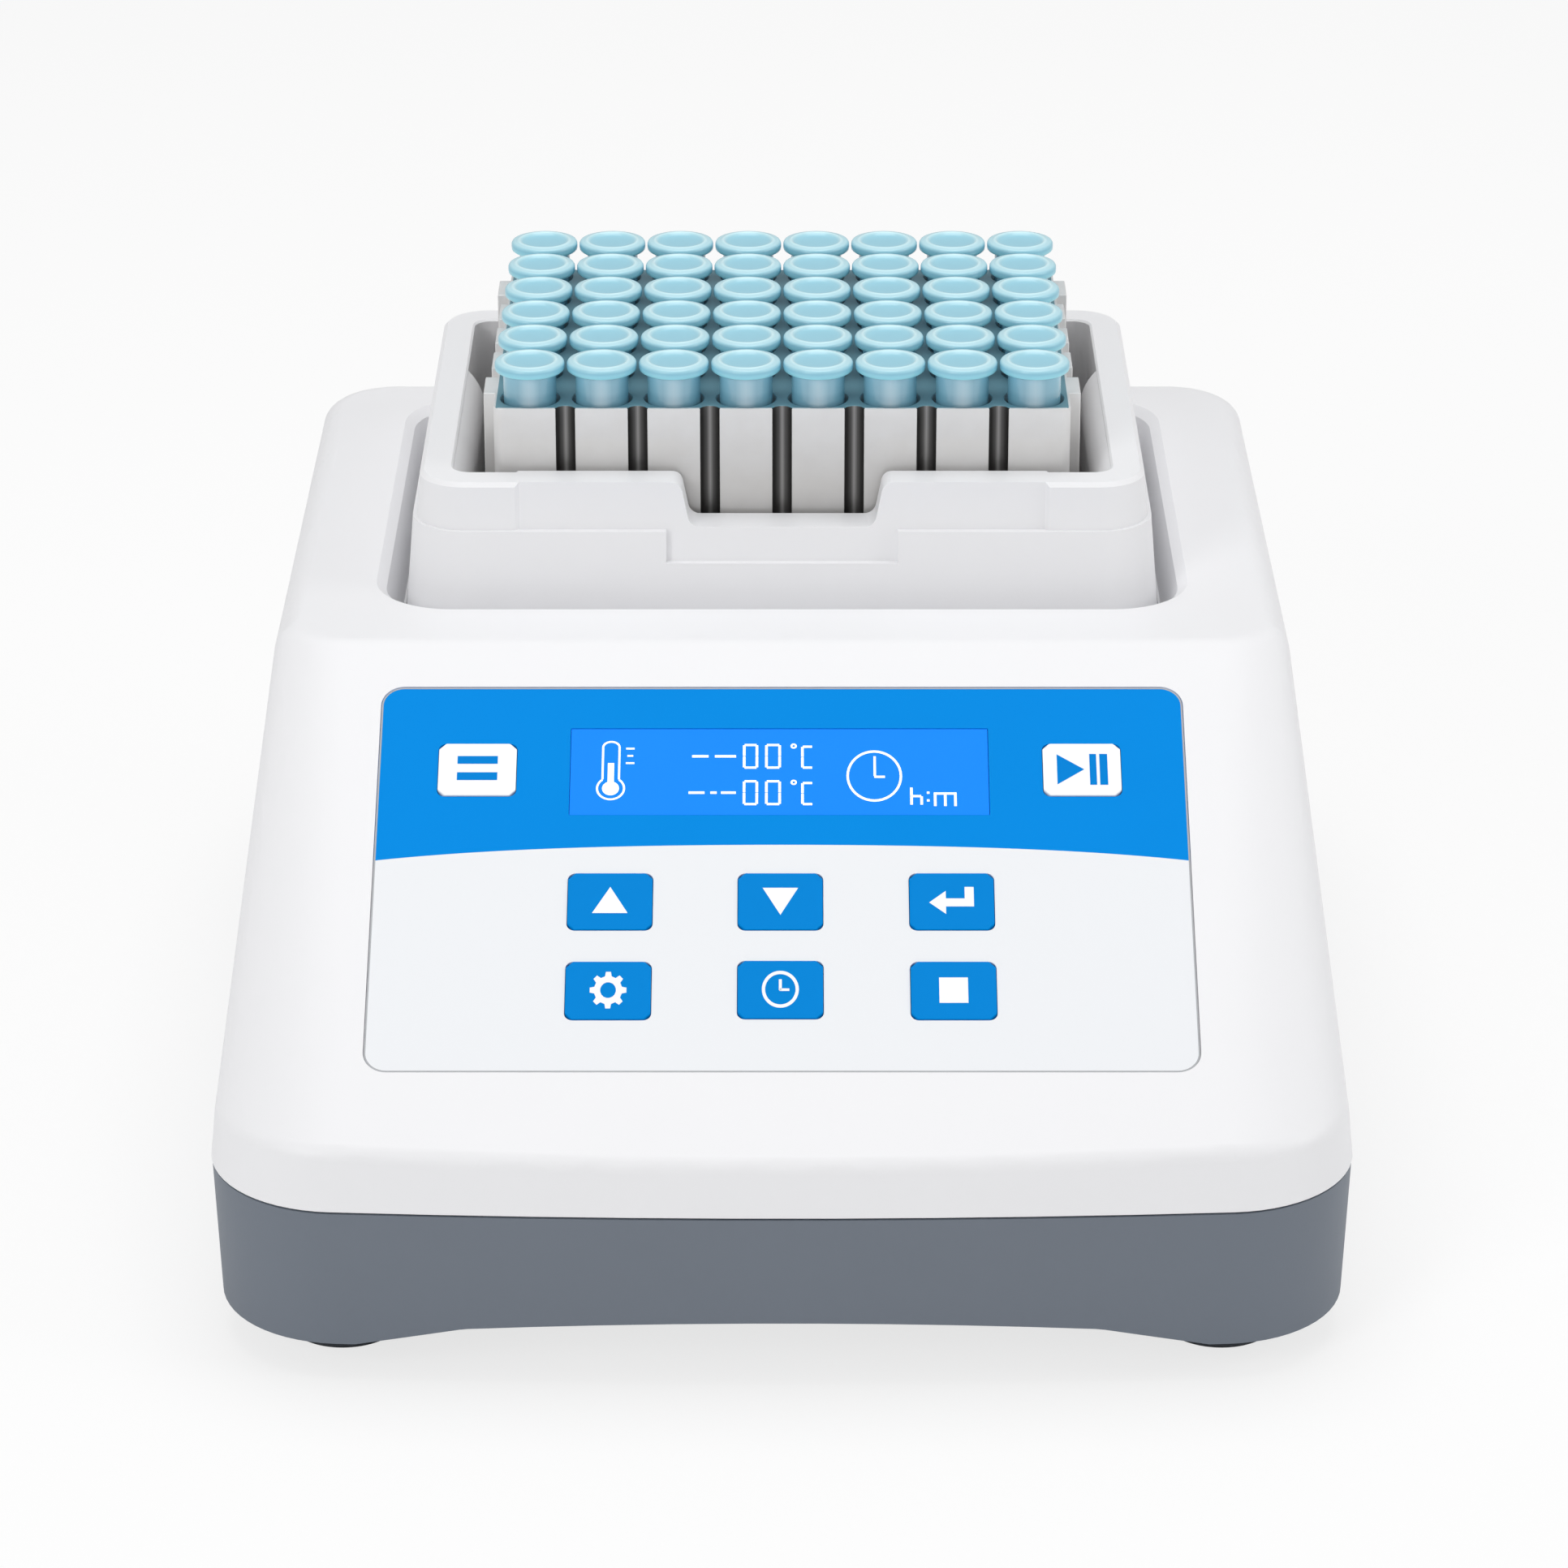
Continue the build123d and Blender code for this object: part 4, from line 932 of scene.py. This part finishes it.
def digit(name, left, bottom, width, height, stroke):
    """One seven-bar digit"""
    for letter in digits[name]:
        side, level = segments[letter]
        cx = left + width / 2 + side * (width - stroke) / 2
        cy = bottom + height / 2 + level * (height - stroke) / 2
        flat_bar = letter in "agd"
        wide = width - 1.3 * stroke if flat_bar else stroke
        tall = stroke if flat_bar else height / 2 - 0.8 * stroke
        shown.prism(bar(cx, cy, wide, tall), shown_low, shown_high, on_face)


def temperature(low, dashes):
    """Two dashes, two digits and the degree sign with its C"""
    for left, right in dashes:
        shown.prism(bar((left + right) / 2, low + 2.9, right - left, 0.55), shown_low, shown_high, on_face)
    digit("0", -7.4, low, 2.9, 5.8, 0.5)
    digit("0", -3.2, low, 3.0, 5.8, 0.5)
    round_ring(shown, 2.2, low + 5.3, 0.6, 0.25, shown_low, shown_high, on_face, 20)
    digit("C", 3.6, low, 2.4, 5.4, 0.5)


temperature(88.6, [(-17.0, -13.9), (-12.7, -8.7)])
temperature(80.1, [(-17.6, -14.6), (-13.5, -12.3), (-11.5, -8.7)])
print("faces so far", len(shown.faces))

# %% [markdown]
# The clock is a ring with two hands, and the unit beside it is an h, two dots and an m. The ring is stretched
# up the slope, as the round signs on the keys are.

# %% The clock and its unit
clock_x = 17.4
clock_up = 86.9
clock_stretch = 1.14


def on_clock(px, py, out):
    """The clock's circle, stretched up the slope so that it looks round from the front"""
    return on_face(clock_x + px, clock_up + py * clock_stretch, out)


round_ring(shown, 0, 0, 5.25, 4.8, shown_low, shown_high, on_clock)
shown.prism(bar(clock_x + 0.1, clock_up + 2.3, 0.45, 4.6), shown_low, shown_high, on_face)
shown.prism(bar(clock_x + 1.0, clock_up - 0.2, 2.0, 0.5), shown_low, shown_high, on_face)

# The unit of the time: an h, two dots, and an m with its three legs under one bar
unit_x = 24.1
unit_up = 79.9
unit_stroke = 0.5
dots_x = unit_x + 3.4
leg_x = unit_x + 4.7
leg_pitch = 1.9
digit("h", unit_x, unit_up, 2.4, 4.6, unit_stroke)
for dot_up in (unit_up + 1.3, unit_up + 3.1):
    shown.prism(bar(dots_x, dot_up, unit_stroke, unit_stroke), shown_low, shown_high, on_face)
for leg in range(3):
    leg_place = leg_x + leg * leg_pitch
    shown.prism(bar(leg_place, unit_up + 1.5, unit_stroke, 3.0), shown_low, shown_high, on_face)
shown.prism(bar(leg_x + leg_pitch, unit_up + 2.9, 4.3, unit_stroke), shown_low, shown_high, on_face)
print("faces so far", len(shown.faces))

# %% [markdown]
# The thermometer is the outline of a tube and a bulb, its filling, and three marks. The arch and the open
# bulb are each an outer and an inner arc joined into one outline, so they need no cutting.

# %% The thermometer
glass_x = -32.3
glass_half = 1.55
glass_line = 0.4
glass_up = 89.9
arch_up = 93.6
bulb_up = 84.0
bulb_open = radians(38)
marks_x = -28.7
for side in (-1, 1):
    shown.prism(bar(glass_x + side * glass_half, glass_up, glass_line, 7.6), shown_low, shown_high, on_face)
arch = []
for radius, rise, order in ((glass_half + 0.2, 1.5, 1), (glass_half - 0.2, 1.1, -1)):
    turns = [pi * i / 12 for i in range(13)][::order]
    arch += [(glass_x + radius * cos(turn), arch_up + rise * sin(turn)) for turn in turns]
shown.prism(arch, shown_low, shown_high, on_face)
bulb = []
for radius, order in ((2.75, 1), (2.35, -1)):
    turns = [pi / 2 + bulb_open + (2 * pi - 2 * bulb_open) * i / 30 for i in range(31)][::order]
    bulb += [(glass_x + radius * cos(turn), bulb_up + radius * sin(turn)) for turn in turns]
shown.prism(bulb, shown_low, shown_high, on_face)
shown.prism(circle(glass_x, bulb_up, 1.6), shown_low, shown_high, on_face)
shown.prism(bar(glass_x, 87.4, 1.2, 5.0), shown_low, shown_high, on_face)
for mark_up, length in ((93.3, 1.6), (91.6, 1.1), (89.9, 1.6)):
    shown.prism(bar(marks_x, mark_up, length, glass_line), shown_low, shown_high, on_face)
reading = shown.make("display_reading")
wear(reading, display_sign)
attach(reading, "housing")
print("display faces", len(reading.data.polygons))

# %% [markdown]
# The picture was taken from the front and a little above, with a long lens. The camera stands on the
# object's middle line, about a metre away.

# %% Camera
camera_tilt = 23.75
camera_data = bpy.data.cameras.new("camera")
camera_data.sensor_width = 36.0
camera_data.lens = 127.72
camera = bpy.data.objects.new("camera", camera_data)
camera.location = (0.00037, -1.01414, 0.50993)
camera.rotation_euler = (radians(90 - camera_tilt), 0, 0)
bpy.context.scene.collection.objects.link(camera)
bpy.context.scene.camera = camera
print("the camera looks down by", camera_tilt, "degrees")

# %% [markdown]
# The set is a plain white floor. It gives off some light of its own towards the camera only, so it looks
# white there, and the rest of it is an ordinary surface that takes the object's shadow.

# %% Floor
floor_glow = 0.75
floor_size = 16.0
floor_middle_y = 1.0
floor_thickness = 0.01
floor_finish = Finish("white_floor", srgb(254, 254, 254), 0.9)
floor_finish.wander(0.004, 3)
glow = floor_finish.node("ShaderNodeEmission", {}, {"Color": (1, 1, 1, 1), "Strength": 1.0})
camera_ray = floor_finish.node("ShaderNodeLightPath", {}, {}, "Is Camera Ray")
blend_share = camera_ray * floor_glow
lit_floor = Value(floor_finish, floor_finish.shader.outputs[0])
blended = floor_finish.node("ShaderNodeMixShader", {}, {0: blend_share, 1: lit_floor, 2: glow})
floor_output = floor_finish.tree.nodes["Material Output"]
floor_finish.tree.links.new(blended.socket, floor_output.inputs["Surface"])
floor_shape = Shape()
floor_outline = bar(0, floor_middle_y, floor_size, floor_size)
floor_shape.prism(floor_outline, -floor_thickness, 0.0, lambda px, py, pz: Vector((px, py, pz)))
floor = floor_shape.make("floor")
wear(floor, floor_finish)
print("floor faces", len(floor.data.polygons))

# %% [markdown]
# The sky is even and white. It lights the object at less than full strength, while the camera sees plain
# white, as behind a catalogue picture.

# %% The sky
class Sky(Finish):
    """The world's own nodes, with the helpers of a finish"""

    def __init__(self, name):
        self.world = bpy.data.worlds.new(name)
        self.world.use_nodes = True
        self.tree = self.world.node_tree
        self.shader = self.tree.nodes["Background"]
        self.shader.inputs["Color"].default_value = (1, 1, 1, 1)


sky = Sky("white_room")
bpy.context.scene.world = sky.world
sky_strength = 0.46
camera_ray = sky.node("ShaderNodeLightPath", {}, {}, "Is Camera Ray")
through_ray = sky.node("ShaderNodeLightPath", {}, {}, "Is Transmission Ray")
seen = camera_ray.maths("MAXIMUM", camera_ray, through_ray)
sky.feed("Strength", seen * (1 - sky_strength) + sky_strength)
print("sky strength", sky_strength)

# %% [markdown]
# The lamps are large and square, like studio soft boxes: one above, one at the front left and one on the
# right. Of the two at the sides the left one is the stronger, which gives the cover's left corner its soft
# highlight.

# %% Lamps
def soft_lamp(name, place, aim, width, power):
    """A square lamp that looks at a point"""
    lamp_data = bpy.data.lights.new(name, "AREA")
    lamp_data.size = width
    lamp_data.energy = power
    lamp = bpy.data.objects.new(name, lamp_data)
    lamp.location = place
    lamp.rotation_euler = (Vector(aim) - Vector(place)).to_track_quat("-Z", "Y").to_euler()
    bpy.context.scene.collection.objects.link(lamp)


soft_lamp("lamp_above", (0.0, 0.15, 1.5), (0.0, 0.0, 0.1), 1.0, 8.5)
soft_lamp("lamp_front_left", (-0.9, -1.3, 0.9), (0.0, 0.0, 0.1), 0.6, 6.6)
soft_lamp("lamp_right", (1.3, -0.3, 0.7), (0.0, 0.0, 0.1), 0.6, 3.4)
bpy.context.scene.view_settings.view_transform = "Standard"
print("lamps", len(bpy.data.lights))
